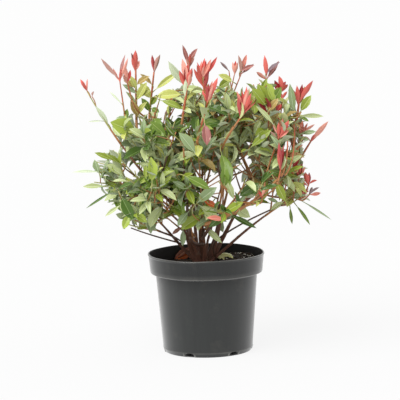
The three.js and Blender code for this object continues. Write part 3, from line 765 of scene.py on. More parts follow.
cracked = {"Height": cracks, "Strength": 0.5, "Distance": CRACK_DEPTH * MM}
tree.links.new(add_node(tree, "ShaderNodeBump", "Normal", cracked), shader.inputs["Normal"])

stool_outline = rounded_outline([
    (0, SOIL_LEVEL - FOOT_SUNK, 0, 60),
    (STOOL_FOOT_RADIUS + 3, SOIL_LEVEL - FOOT_SUNK, 0, 2),
    (STOOL_FOOT_RADIUS - 1, SOIL_LEVEL + 3, 3, 1.5),
    (STOOL_RING - FOOT_PINCH, SOIL_LEVEL + STOOL_HEIGHT, 6, 1.5),
    (0, SOIL_LEVEL + STOOL_HEIGHT - 3, 0, 3),
])
stool_rings, bearing = turned(stool_outline, STOOL_SIDES)
stem_lobes = np.cos(len(stool_bearings) * (bearing - np.radians(stool_bearings[0])))
stool_rings[..., :2] *= (1 + STOOL_LOBES * stem_lobes + STOOL_SKEW * np.sin(3 * bearing + 1))[:, None]
stool_rings += STOOL_CENTRE * [1, 1, 0]
swell = lumps(stool_rings * STOOL_KNOB_STRETCH, STOOL_KNOB, seed=8)[..., None]
stool_rings += STOOL_KNOB_RISE * swell * unit(stool_rings - STOOL_CENTRE + STOOL_KNOB_DROP)
stool_skin = closed_rings(stool_rings[None, 1:-1], stool_rings[:1, 0], stool_rings[-1:, 0])
add_piece("woody_stool", ["stem_stool"], stool_skin, [bark])


def bark_relief(arc, turn, girth, seed):
    """How far bark stands out, as a share of the stem's radius, along it (mm) and round it: long ridges and
    hollows, finer wrinkles, and one low bulge on alternate sides at each dropped leaf."""
    round_about = np.stack([np.cos(turn) + 0 * arc, np.sin(turn) + 0 * arc, 0 * turn + arc], axis=-1)
    ridges = lumps(round_about * RIDGE_SCALE, 1.0, seed)
    wrinkles = lumps(round_about * WRINKLE_SCALE, 1.0, seed + WRINKLE_SEED)
    scar = np.round(arc / LEAF_SCAR_STEP)
    off_scar = (arc - scar * LEAF_SCAR_STEP) / LEAF_SCAR_REACH
    scar_side = 0.5 + 0.5 * np.cos(turn - scar * LEAF_SCAR_TURN - seed)
    scars = LEAF_SCAR_RISE / girth * np.exp(-(off_scar**2)) * scar_side
    return RIDGE * ridges + WRINKLE * wrinkles + scars


def bough_skin(bough, index):
    """One bough from inside what carries it to where its leaves begin: rings with bark relief along its bow,
    which wanders a little, flared and drawn in to the stool's middle at the soil, or swollen into a collar at
    a fork."""
    steps = int(bough["length"] * bough["bare"] / RING_STEP) + 2
    shares = np.linspace(0, bough["bare"], steps)
    path = along(bough["bow"], shares)[0]
    arc = shares * bough["length"]
    taper = bough["foot_radius"] + (BOUGH_TIP_RADIUS - bough["foot_radius"]) * shares / bough["bare"]
    if "carrier" in bough:
        flare = 1 + (COLLAR_SWELL - 1) * np.exp(-arc / COLLAR_SWELL_LENGTH)
    else:
        flare = 1 + (FOOT_FLARE - 1) * np.clip(1 - arc / FOOT_FLARE_LENGTH, 0, 1)
        inward = unit((STOOL_CENTRE - path[0]) * [1, 1, 0])
        path = path + inward * (FOOT_PINCH * np.clip(1 - arc / FOOT_PINCH_LENGTH, 0, 1) ** 2)[:, None]
        path = np.concatenate([path[:1] - [0, 0, FOOT_SUNK], path[1:]])
    turn = 2 * np.pi * np.arange(BOUGH_SIDES) / BOUGH_SIDES
    relief = bark_relief(arc[:, None], turn[None], bough["foot_radius"], index)
    wander = lumps(np.stack([arc, 0 * arc, 0 * arc], axis=-1), WANDER_LENGTH, index + WANDER_SEED)
    wander = wander * np.clip(arc / WANDER_EASE, 0, 1) * np.clip((arc[-1] - arc) / WANDER_EASE, 0, 1)
    path = path + WANDER * wander[:, None] * bough["across"]
    rings = carried(path, bough["across"], (taper * flare)[:, None] * (1 + relief), BOUGH_SIDES)
    return closed_rings(rings[None], path[None, 0], path[None, -1])


for index, (name, bough) in enumerate(BOUGHS.items()):
    add_piece("stem_" + name, ["bough_" + name], bough_skin(bough, index), [bark])

# Shoots
# Each bough ends in a spray: its leading shoot and the side shoots that leave it in a spiral and turn up, the
# last years' growth. They are tan wood below and green, or red where a new flush has broken, towards the tip.
SEED = 26
GOLDEN_ANGLE = 137.5
LONE_LEADER = "far_left"
SHORTEST_LEADER = 0.1
BOW_SHARES = np.linspace(0, 1, 41)
SIDE_SHOOTS = 8
SIDE_SHOOTS_SPAN = (0.02, 0.74)
SIDE_SHOOT_LEAN = (42.0, 62.0)
SIDE_SHOOT_LENGTH = (52.0, 84.0)
SIDE_SHOOT_SHORTENS = 0.4
SIDE_SHOOT_LIFT = 0.22
SIDE_SHOOT_RADIUS = 1.2
SHOOT_TIP_RADIUS = 0.8
SHORTEST_SHOOT = 12.0
MOSTLY_IN_GAP = 0.3
TWIGLET_SPACING = 30.0
TWIGLET_LEAN = (30.0, 58.0)
TWIGLET_LENGTH = (20.0, 36.0)
TWIGLET_LIFT = 0.35
TWIGLET_RADIUS = 1.0
# The green crown's outline and the gaps that show sky through it, in pixels of the photograph's frame. The
# gaps are ellipses: middle across and down, half width and half height.
CROWN_OUTLINE = np.array([
    (90, 183), (94, 174), (93, 162), (98, 154), (117, 149), (120, 141), (112, 128), (112, 119),
    (123, 114), (150, 114), (156, 105), (159, 94), (176, 87), (184, 83), (200, 83), (214, 91),
    (225, 83), (238, 94), (252, 85), (263, 81), (275, 84), (282, 94), (291, 100), (302, 112),
    (304, 129), (303, 146), (305, 156), (302, 166), (307, 178), (309, 190), (305, 199), (290, 203),
    (276, 206), (262, 207), (246, 214), (230, 219), (220, 228), (218, 240), (202, 241), (188, 230),
    (180, 224), (152, 224), (148, 229), (138, 225), (122, 224), (118, 206), (109, 196), (97, 191),
])
SKY_GAPS = np.array([
    (213, 178, 6, 6), (217, 195, 5.5, 9), (227, 197, 3, 7), (241, 176, 5, 4.5), (246, 162, 6, 5),
    (248, 144, 4, 3), (257, 209, 8, 5), (271, 203, 4, 3), (287, 146, 3, 4), (187, 125.5, 3.5, 3),
    (131, 167, 9, 4.5), (130, 176, 5, 2), (167, 203, 4, 4), (176, 112, 4, 3), (236, 222, 6, 3),
    (172, 140, 2.5, 3), (161, 107, 5.5, 7), (236, 187, 4, 6), (161, 228, 9, 4.5), (201, 175, 5, 4),
    (199, 244, 15, 11),
])
CROWN_DEPTH = 190.0
LEAF_MARGIN = 2.5


def seeded(seed):
    """Numbers from 0 to 1 by a linear congruential rule, the same on every machine."""
    span = 4294967296
    state = (seed * 2654435761) % span
    while True:
        state = (1664525 * state + 1013904223) % span
        yield state / span


def leaving(heading, across, turn, angle):
    """Directions that leave a shoot at an angle to its heading, turned round it from a sideways line."""
    first = unit(across - heading * np.sum(across * heading, axis=-1, keepdims=True))
    second = np.cross(heading, first)
    turn, angle = np.asarray(turn)[..., None], np.asarray(angle)[..., None]
    radial = np.cos(turn) * first + np.sin(turn) * second
    return unit(np.cos(angle) * heading + np.sin(angle) * radial)


def shows_at(places):
    """The pixel of the photograph's frame at which each place shows."""
    off = places - CAMERA_PLACE
    scale = IMAGE_PIXELS * LENS / SENSOR / (off @ camera_ahead)
    across = IMAGE_PIXELS / 2 + scale * (off @ camera_right)
    return np.stack([across, IMAGE_PIXELS / 2 - scale * (off @ camera_up)], axis=-1)


def in_crown(places):
    """True where places are neither too far to the front or back nor outside the crown's outline: a line from
    the pixel to the right then crosses the outline an odd number of times."""
    across, down = np.moveaxis(shows_at(places)[..., None], -2, 0)
    begin, end = CROWN_OUTLINE.T, np.roll(CROWN_OUTLINE, -1, axis=0).T
    spans = (begin[1] > down) != (end[1] > down)
    drop = np.where(end[1] == begin[1], 1, end[1] - begin[1])
    meets = begin[0] + (down - begin[1]) * (end[0] - begin[0]) / drop
    inside = np.sum(spans & (across < meets), axis=-1) % 2 == 1
    return inside & (np.abs(places[..., 1]) < CROWN_DEPTH)


def in_ellipses(places, ellipses, margin=0.0):
    """True where places show in one of those ellipses of the photograph's frame, or within a margin of it."""
    off = (shows_at(places)[:, None] - ellipses[:, :2]) / (ellipses[:, 2:] + margin)
    return (np.sum(off**2, axis=-1) < 1).any(axis=1)


def share_inside(bow):
    """The share of a shoot's bow after which it is no more inside the crown."""
    inside = in_crown(along(bow, BOW_SHARES)[0])
    return BOW_SHARES[inside][-1] if inside.any() else 0.0


def turned_up(start, direction, length, lift):
    """The bow of a shoot that sets out along a direction and turns up by a share of its length. It is cut
    back to where it is last inside the crown, and is none if it is then too short, or if much of it lies
    across a gap."""
    end = start + direction * length + [0, 0, lift * length]
    bow = np.stack([start, start + direction * length / 2, end])
    kept = share_inside(bow)
    in_gap = in_ellipses(along(bow, BOW_SHARES)[0], SKY_GAPS)
    if kept * at_shares(bow, 1.0)[1] < SHORTEST_SHOOT or np.mean(in_gap) > MOSTLY_IN_GAP:
        return None
    return stretch(bow, 0, kept)


shoots = []
for index, (name, bough) in enumerate(BOUGHS.items()):
    random = seeded(SEED + index)
    leader = stretch(bough["bow"], bough["bare"], 1)
    phase = next(random) * 360
    leader_end = 1.0 if name == LONE_LEADER else max(SHORTEST_LEADER, share_inside(leader))
    sprays = [dict(bow=stretch(leader, 0, leader_end), radius=BOUGH_TIP_RADIUS, phase=phase)]
    for i in range(bough.get("side_shoots", SIDE_SHOOTS)):
        share = between(SIDE_SHOOTS_SPAN, (i + next(random)) / SIDE_SHOOTS)
        lean = np.radians(between(SIDE_SHOOT_LEAN, next(random)))
        length = between(SIDE_SHOOT_LENGTH, next(random)) * (1 - SIDE_SHOOT_SHORTENS * share)
        side_phase = next(random) * 360
        start, heading = along(leader, share)
        direction = leaving(heading, bough["across"], np.radians(phase + i * GOLDEN_ANGLE), lean)
        bow = turned_up(start, direction, length, SIDE_SHOOT_LIFT)
        if bow is not None and share < leader_end:
            sprays.append(dict(bow=bow, radius=SIDE_SHOOT_RADIUS, phase=side_phase))
    for spray in sprays:
        spray.update(mass=name, across=bough["across"], length=at_shares(spray["bow"], 1.0)[1], random=random)
        shoots.append(spray)
    bough["wood"] = [stretch(bough["bow"], 0, bough["bare"])] + [spray["bow"] for spray in sprays]

# Finer twigs leave each shoot by the same spiral, and turn up more.
for index, shoot in enumerate([shoot for shoot in shoots if shoot["mass"] != LONE_LEADER]):
    random = seeded(SEED + len(BOUGHS) + index)
    for i in range(int(shoot["length"] / TWIGLET_SPACING)):
        share = (i + next(random)) * TWIGLET_SPACING / shoot["length"]
        lean = np.radians(between(TWIGLET_LEAN, next(random)))
        length = between(TWIGLET_LENGTH, next(random))
        start, heading = along(shoot["bow"], min(share, 1))
        direction = leaving(heading, shoot["across"], np.radians(shoot["phase"] + i * GOLDEN_ANGLE), lean)
        bow = turned_up(start, direction, length, TWIGLET_LIFT)
        if bow is not None:
            twiglet = dict(bow=bow, radius=TWIGLET_RADIUS, phase=next(random) * 360, mass=shoot["mass"])
            shoots.append(dict(twiglet, across=shoot["across"], length=at_shares(bow, 1.0)[1], random=random))

# Young shoots: smooth skin, a soft waxy gloss. Tan where a year old, green or clear red where new.
TWIG_TINTS = {
    "brown": ("#3A271F", "#5A3E2E"),
    "tan": ("#8A5632", "#B07E4C"),
    "green": ("#8A8A48", "#A8A468"),
    "red": ("#8E4430", "#BA6A40"),
}
MOTTLE = 6.0
twig_materials = []
for tint, (deep, pale) in TWIG_TINTS.items():
    skin, tree, shader = new_material(tint + "_shoot_skin", roughness=0.5, ior=1.45)
    place = add_node(tree, "ShaderNodeTexCoord", "Object", {})
    mottle_pattern = {"Vector": place, "Scale": 1 / (MOTTLE * MM), "Detail": 2.0}
    mottle = add_node(tree, "ShaderNodeTexNoise", "Fac", mottle_pattern)
    mottles = {"Factor": mottle, "A": linear(deep), "B": linear(pale)}
    mottled = add_node(tree, "ShaderNodeMix", "Result", mottles, data_type="RGBA")
    tree.links.new(mottled, shader.inputs["Base Color"])
    twig_materials.append(skin)
BROWN, TAN, GREEN, RED = range(len(TWIG_TINTS))
twigs = {name: [] for name in BOUGHS}


def add_twig(mass, bow, foot_radius, tip_radius, old_wood, new_wood, new_from):
    """Notes a twig of that mass: its bow, its radius at both ends, its kind of skin at the foot, and its kind
    from a share of its length on."""
    twigs[mass].append((bow, foot_radius, tip_radius, old_wood, new_wood, new_from))


# Leaves
# Evergreen leaves on short stalks, spirally set: leathery, folded along a pale midrib, arched to the tip. Old
# ones are dark and glossy above and grey-green below, younger ones yellower, and the new flush is red. A pair
# of values for one measure is for the youngest leaf and the oldest, or the least and the greatest.
LEAF_SEED = 5
TIP_LEAVES = 4
TIP_SPACING = 4.0
LEAF_SPACING = 10.5
LEAFLESS_FOOT = 7.0
MOST_LEAVES = 60
LEAF_LENGTH = (29.0, 42.0)
LEAF_SLIMNESS = (0.3, 0.39)
LEAF_SPREAD = (20.0, 68.0)
LENGTH_VARIES = 0.32
SPREAD_VARIES = 26.0
WIDTH_VARIES = (0.8, 1.2)
LEAF_FOLD = (10.0, 36.0)
YOUNG_FOLD = 8.0
LEAF_BEND = (-10.0, 80.0)
DROOP = 0.35
DROOPS_UNDER = 330.0
DROOP_EASE = 120.0
OLD_DROPPED = 0.12
INSIDE_UP_TO = 0.75
CLEAR_OF_GAPS = (0.3, 0.55, 0.8, 1.0)
FACES_OUT = 1.1
FACES_UP = 0.6
FACES_ANYHOW = 0.45
YOUNG_AGE = 0.3
YOUNG_TINT_SHARE = 0.3
YOUNG_TINT_ABOVE = 300.0
OWN_TINT_SHARE = 0.55
HIGH_TINTS_FROM = 250.0
HIGH_TINTS_EASE = 170.0
RIGHT_TINTS_EASE = 140.0
RIGHT_TINTS_SHARE = 0.8
LEFT_TINTS_EASE = 110.0
BACK_FLUSH = 0.35
BACK_FLUSH_DEPTH = 60.0
BACK_FLUSH_ABOVE = 340.0
RIGHT_FLUSH = 0.26
RIGHT_FLUSH_FROM = 90.0
EARLY_NEW_WOOD = 0.3
LATE_NEW_WOOD = 0.75
GREEN_WOOD_LEFT_OF = -80.0
SHOOT_FOOT_SWELL = 1.25
CROWN_REACH = 217.0
POT_CLEARANCE = 3.0
# Each tint's colours: the upper side, the midrib and stalk, and the underside.
LEAF_TINTS = {
    "red": ("#C44843", "#D47264", "#C65E54"),
    "deep_red": ("#90282D", "#AE4C44", "#A64644"),
    "coral": ("#D27C6C", "#DDA290", "#D49282"),
    "dusky": ("#8E5650", "#B88276", "#B0867A"),
    "purple": ("#665056", "#8C6C6E", "#8A7474"),
    "bronze": ("#A08A4E", "#B8A472", "#B0A278"),
    "yellow_green": ("#AEB35E", "#C4C88A", "#B9BF88"),
    "light_green": ("#A8B37C", "#C0C8A0", "#C0C9AA"),
    "fresh_green": ("#9CAE48", "#B2C070", "#A8B670"),
    "mid_green": ("#839333", "#A5B06A", "#B0BA8C"),
    "full_green": ("#60782A", "#8E9E56", "#A0AC82"),
    "dark_green": ("#445F20", "#768C50", "#90A07A"),
    "grey_green": ("#86986C", "#AEBC98", "#B4C0A6"),
    "pale_grey": ("#BAC6A6", "#CBD2B8", "#C6CFB6"),
    "dead_brown": ("#A04A20", "#BC7840", "#9A5A34"),
    "withered": ("#7E5040", "#9C7660", "#8A6250"),
    # Straw: a dead leaf's own pale colour, made paler still as painted light, for it lies in shade.
    "straw": ("#E6E6A2", "#F0EEC0", "#E4E2AE"),
}
TINT = {name: number for number, name in enumerate(LEAF_TINTS)}
FLUSH_TINTS = ("red", "deep_red", "coral", "dusky", "purple")
GREEN_TINTS = ("bronze", "yellow_green", "light_green", "mid_green", "full_green", "dark_green", "grey_green")
LOW_SHARES = np.array([0.0, 0.03, 0.15, 0.28, 0.24, 0.12, 0.18])
HIGH_SHARES = np.array([0.18, 0.16, 0.3, 0.2, 0.06, 0.02, 0.08])
RIGHT_SHARES = np.array([0.3, 0.08, 0.2, 0.18, 0.1, 0.05, 0.09])
LEFT_TIMES = np.array([0.0, 0.1, 1.9, 0.9, 0.9, 0.8, 1.3])
# Spots where the crown is thin: ellipses in the photograph's frame, and the share of leaves that they keep.
THIN_SPOTS = np.array([(258, 192, 24, 16), (222, 190, 22, 20), (172, 225, 30, 14), (234, 210, 22, 10)])
THIN_KEEPS = 0.5
# Spots where leaves take a darker tint as painted shade, or a paler one as painted light, than by the rule,
# as ellipses, and the tint that takes each one's place.
SHADY_SPOTS = np.array([(167, 130, 19, 16), (136, 161, 9, 6), (139, 188, 11, 8), (201, 127, 13, 13)])
SUNNY_SPOTS = np.array([
    (229, 146, 17, 30), (261, 162, 16, 14), (293, 190, 16, 15), (165, 219, 16, 14), (133, 122, 17, 22),
    (98, 160, 12, 14), (197, 219, 16, 14), (197, 101, 16, 13),
])
DARKER = dict(
    bronze="full_green",
    yellow_green="mid_green",
    light_green="full_green",
    mid_green="dark_green",
    full_green="dark_green",
    grey_green="full_green",
)
PALER = dict(
    bronze="yellow_green",
    mid_green="light_green",
    full_green="mid_green",
    dark_green="grey_green",
    grey_green="light_green",
)
leaf_draw = np.random.default_rng(LEAF_SEED)
leaves = {name: [] for name in BOUGHS}


def add_leaves(mass, root, direction, upper, length, width, fold, bend, tint):
    """Notes leaves of that mass, one row each: root, direction, upper side, length, greatest width, the angle
    that each half is folded up, the angle that the tip bends down, and the tint's number."""
    upper = unit(upper - direction * np.sum(upper * direction, axis=-1, keepdims=True))
    columns = [np.broadcast_to(value, len(root))[:, None] for value in (length, width, fold, bend, tint)]
    leaves[mass].append(np.concatenate([root, direction, upper, *columns], axis=1))


def retinted(tints, spots, places, swaps):
    """Tints of leaves at those places, each swapped for another where it shows in one of the spots."""
    others = np.array([TINT[swaps.get(tint, tint)] for tint in LEAF_TINTS])
    return np.where(in_ellipses(places, spots), others[tints], tints)


def spray_tints(place, count):
    """Tints of the leaves of one spray at that place: mostly one green, yellower high up and bronzed on the
    right, but plain or pale green on the left."""
    high = np.clip((place[2] - HIGH_TINTS_FROM) / HIGH_TINTS_EASE, 0, 1)
    right = np.clip(place[0] / RIGHT_TINTS_EASE, 0, 1) * RIGHT_TINTS_SHARE
    shares = between((LOW_SHARES, HIGH_SHARES), high) * (1 - right) + RIGHT_SHARES * right
    shares = shares * (1 + (LEFT_TIMES - 1) * np.clip(-place[0] / LEFT_TINTS_EASE, 0, 1))
    numbers = [TINT[name] for name in GREEN_TINTS]
    own, *strays = leaf_draw.choice(numbers, count + 1, p=shares / shares.sum())
    return np.where(leaf_draw.uniform(0, 1, count) < OWN_TINT_SHARE, own, strays)


def off_pot(places):
    """True where places are clear of the pot's mouth."""
    out = np.linalg.norm(places[:, :2], axis=1)
    return (places[:, 2] > POT_HEIGHT + POT_CLEARANCE) | (out > RIM_RADIUS + POT_CLEARANCE)


def leaf_out(shoot, flush, bare_tip=0.0):
    """Sets leaves spirally on a shoot from a bare tip down by the rule: close together and narrow at the tip,
    then further apart, longer and more spread with age. Those outside the crown, in a gap or in the pot are
    left out, and so are some of the old ones and of those in thin spots."""
    numbers = np.arange(MOST_LEAVES)
    down = bare_tip + np.where(
        numbers <= TIP_LEAVES,
        numbers * TIP_SPACING,
        TIP_LEAVES * TIP_SPACING + (numbers - TIP_LEAVES) * LEAF_SPACING,
    )
    numbers = numbers[shoot["length"] - down > LEAFLESS_FOOT]
    count = len(numbers)
    if not count:
        return
    down = down[:count]
    draws = np.array([next(shoot["random"]) for _ in range(2 * count)]).reshape(-1, 2) - 0.5
    age = np.clip((numbers - TIP_LEAVES / 2) / TIP_LEAVES, 0, 1)
    length = between(LEAF_LENGTH, age) * (1 + LENGTH_VARIES * draws[:, 0])
    spread = np.radians(between(LEAF_SPREAD, age) + SPREAD_VARIES * draws[:, 1])
    turn = np.radians(shoot["phase"] + numbers * GOLDEN_ANGLE)
    root, heading = along(shoot["bow"], 1 - down / shoot["length"])
    direction = leaving(heading, shoot["across"], turn, spread)
    droop = DROOP * age * np.clip((DROOPS_UNDER - root[:, 2]) / DROOP_EASE, 0, 1)
    direction = unit(direction - droop[:, None] * [0, 0, 1])
    upper = leaving(heading, shoot["across"], turn, spread - np.pi / 2)
    upper = upper + FACES_OUT * root * [1, 1, 0] / CROWN_REACH + [0, 0, FACES_UP]
    upper = upper + leaf_draw.normal(0, FACES_ANYHOW, upper.shape)
    tip = root + direction * length[:, None]
    middle = (root + tip) / 2
    tints = spray_tints(shoot["bow"][2], count)
    young = (age < YOUNG_AGE) & (leaf_draw.uniform(0, 1, count) < YOUNG_TINT_SHARE)
    young = young & (root[:, 2] > YOUNG_TINT_ABOVE)
    tints = np.where(young, leaf_draw.choice([TINT["yellow_green"], TINT["light_green"]], count), tints)
    # Painted shade and painted light: darker tints in the shady spots, paler ones in the sunny spots.
    tints = retinted(retinted(tints, SHADY_SPOTS, middle, DARKER), SUNNY_SPOTS, middle, PALER)
    if flush:
        new = leaf_draw.choice([TINT[tint] for tint in FLUSH_TINTS[:-1]], count)
        tints = np.where(numbers < TIP_LEAVES, new, tints)
    kept = in_crown(root + INSIDE_UP_TO * (tip - root)) & off_pot(tip) & off_pot(middle)
    for share in CLEAR_OF_GAPS:
        kept = kept & ~in_ellipses(root + share * (tip - root), SKY_GAPS, LEAF_MARGIN)
    keeps = np.where(in_ellipses(middle, THIN_SPOTS), THIN_KEEPS, 1 - OLD_DROPPED * age)
    kept = kept & (leaf_draw.uniform(0, 1, count) < keeps)
    slim = between(LEAF_SLIMNESS, age) * leaf_draw.uniform(*WIDTH_VARIES, count)
    fold = np.radians(leaf_draw.uniform(*LEAF_FOLD, count) + YOUNG_FOLD * (1 - age))
    bend = np.radians(leaf_draw.uniform(*LEAF_BEND, count))
    rows = [values[kept] for values in (root, direction, upper, length, length * slim, fold, bend, tints)]
    add_leaves(shoot["mass"], *rows)


for shoot in shoots:
    end = shoot["bow"][2]
    chance = RIGHT_FLUSH if end[0] > RIGHT_FLUSH_FROM else 0.0
    if end[1] > BACK_FLUSH_DEPTH and end[2] > BACK_FLUSH_ABOVE:
        chance = BACK_FLUSH
    flush = leaf_draw.uniform() < chance
    leaf_out(shoot, flush)
    thick = (shoot["radius"] * SHOOT_FOOT_SWELL, SHOOT_TIP_RADIUS)
    new_from = EARLY_NEW_WOOD if flush or end[0] < GREEN_WOOD_LEFT_OF else LATE_NEW_WOOD
    add_twig(shoot["mass"], shoot["bow"], *thick, TAN, RED if flush else GREEN, new_from)

# Inner limbs
# Stems that show in the crown between its leaves: the stout tan one that sweeps to the right and the thin red
# ones that rise from its end, brown ones in the middle, and thin dark ones low on both sides. Each has its
# mass, its start, bend and end in the photograph's frame, how far back its ends lie (mm), its radius at both
# ends (mm) and its kinds of skin.
INNER_LIMBS = [
    ("right_front", (214, 221), (258, 205), (284, 172), -96, -118, 2.9, 2.0, TAN, TAN),
    ("right_front", (281, 177), (297, 152), (294, 124), -96, -50, 1.6, 1.1, TAN, RED),
    ("right_front", (268, 194), (291, 178), (299, 146), -92, -60, 1.3, 0.9, TAN, TAN),
    ("right_front", (283, 173), (288, 159), (287.5, 141), -124, -118, 1.5, 1.1, TAN, RED),
    ("right_front", (287, 173), (294, 161), (294, 141), -120, -108, 1.5, 1.1, TAN, RED),
    ("right_low", (219, 238), (244, 220), (287, 203), -30, -34, 1.5, 1.2, BROWN, BROWN),
    ("left_low", (180, 243), (152, 236), (131, 228), -30, -60, 1.4, 1.0, BROWN, BROWN),
    ("front", (190, 236), (186, 205), (185, 160), -70, -120, 2.8, 1.9, BROWN, TAN),
    ("front_low", (203, 238), (226, 206), (221, 178), -60, -110, 2.4, 1.4, BROWN, TAN),
    ("left_front", (183, 222), (170, 200), (160, 172), -70, -100, 2.0, 1.4, BROWN, TAN),
    ("left_front", (165, 164), (169, 149), (176, 132), -122, -118, 1.3, 1.0, BROWN, TAN),
    ("front", (183, 184), (185, 168), (183.5, 148), -116, -124, 1.7, 1.3, BROWN, TAN),
    ("front_low", (219, 158), (224, 142), (233, 126), -104, -96, 1.4, 1.2, BROWN, TAN),
]
WOOD_SHARES = np.linspace(0.05, 0.97, 24)
NEAR_COUNTS = 1.6
JOINS_BEHIND = 8.0
JOIN_BEND = 0.45
NEW_WOOD_HALF_WAY = 0.5


def seen_at(pixel, depth):
    """The place that shows at a pixel of the photograph's frame, that far back from the pot's axis (mm)."""
    across = (pixel[0] / IMAGE_PIXELS - 0.5) * SENSOR / LENS
    up = (0.5 - pixel[1] / IMAGE_PIXELS) * SENSOR / LENS
    ray = camera_ahead + across * camera_right + up * camera_up
    return CAMERA_PLACE + ray * (depth - CAMERA_PLACE[1]) / ray[1]


def wood_behind(mass, place, heading):
    """The place on a mass's bough, main shoots and stems that a twig with that heading leaves from: near it,
    where wood that lies ahead counts as further away than wood behind."""
    off = np.concatenate([along(bow, WOOD_SHARES)[0] for bow in BOUGHS[mass]["wood"]]) - place
    far = np.linalg.norm(off, axis=1)
    return place + off[np.argmin(NEAR_COUNTS * far + off @ heading)]


def add_joined_twig(mass, end, heading, foot_radius, end_radius, old_wood, new_wood):
    """Notes a twig that leaves the wood behind a place and runs into that place with that heading."""
    foot = wood_behind(mass, end - JOINS_BEHIND * heading, heading)
    bend = end - JOIN_BEND * np.linalg.norm(end - foot) * heading
    bow = np.stack([foot, bend, end])
    add_twig(mass, bow, foot_radius, end_radius, old_wood, new_wood, NEW_WOOD_HALF_WAY)


for mass, start, bend, end, start_depth, end_depth, foot, tip, old_wood, new_wood in INNER_LIMBS:
    depths = (start_depth, (start_depth + end_depth) / 2, end_depth)
    limb = np.stack([seen_at(pixel, depth) for pixel, depth in zip((start, bend, end), depths)])
    add_twig(mass, limb, foot, tip, old_wood, new_wood, NEW_WOOD_HALF_WAY)
    add_joined_twig(mass, limb[0], unit(limb[1] - limb[0]), foot, foot, BROWN, old_wood)
    BOUGHS[mass]["wood"].append(limb)

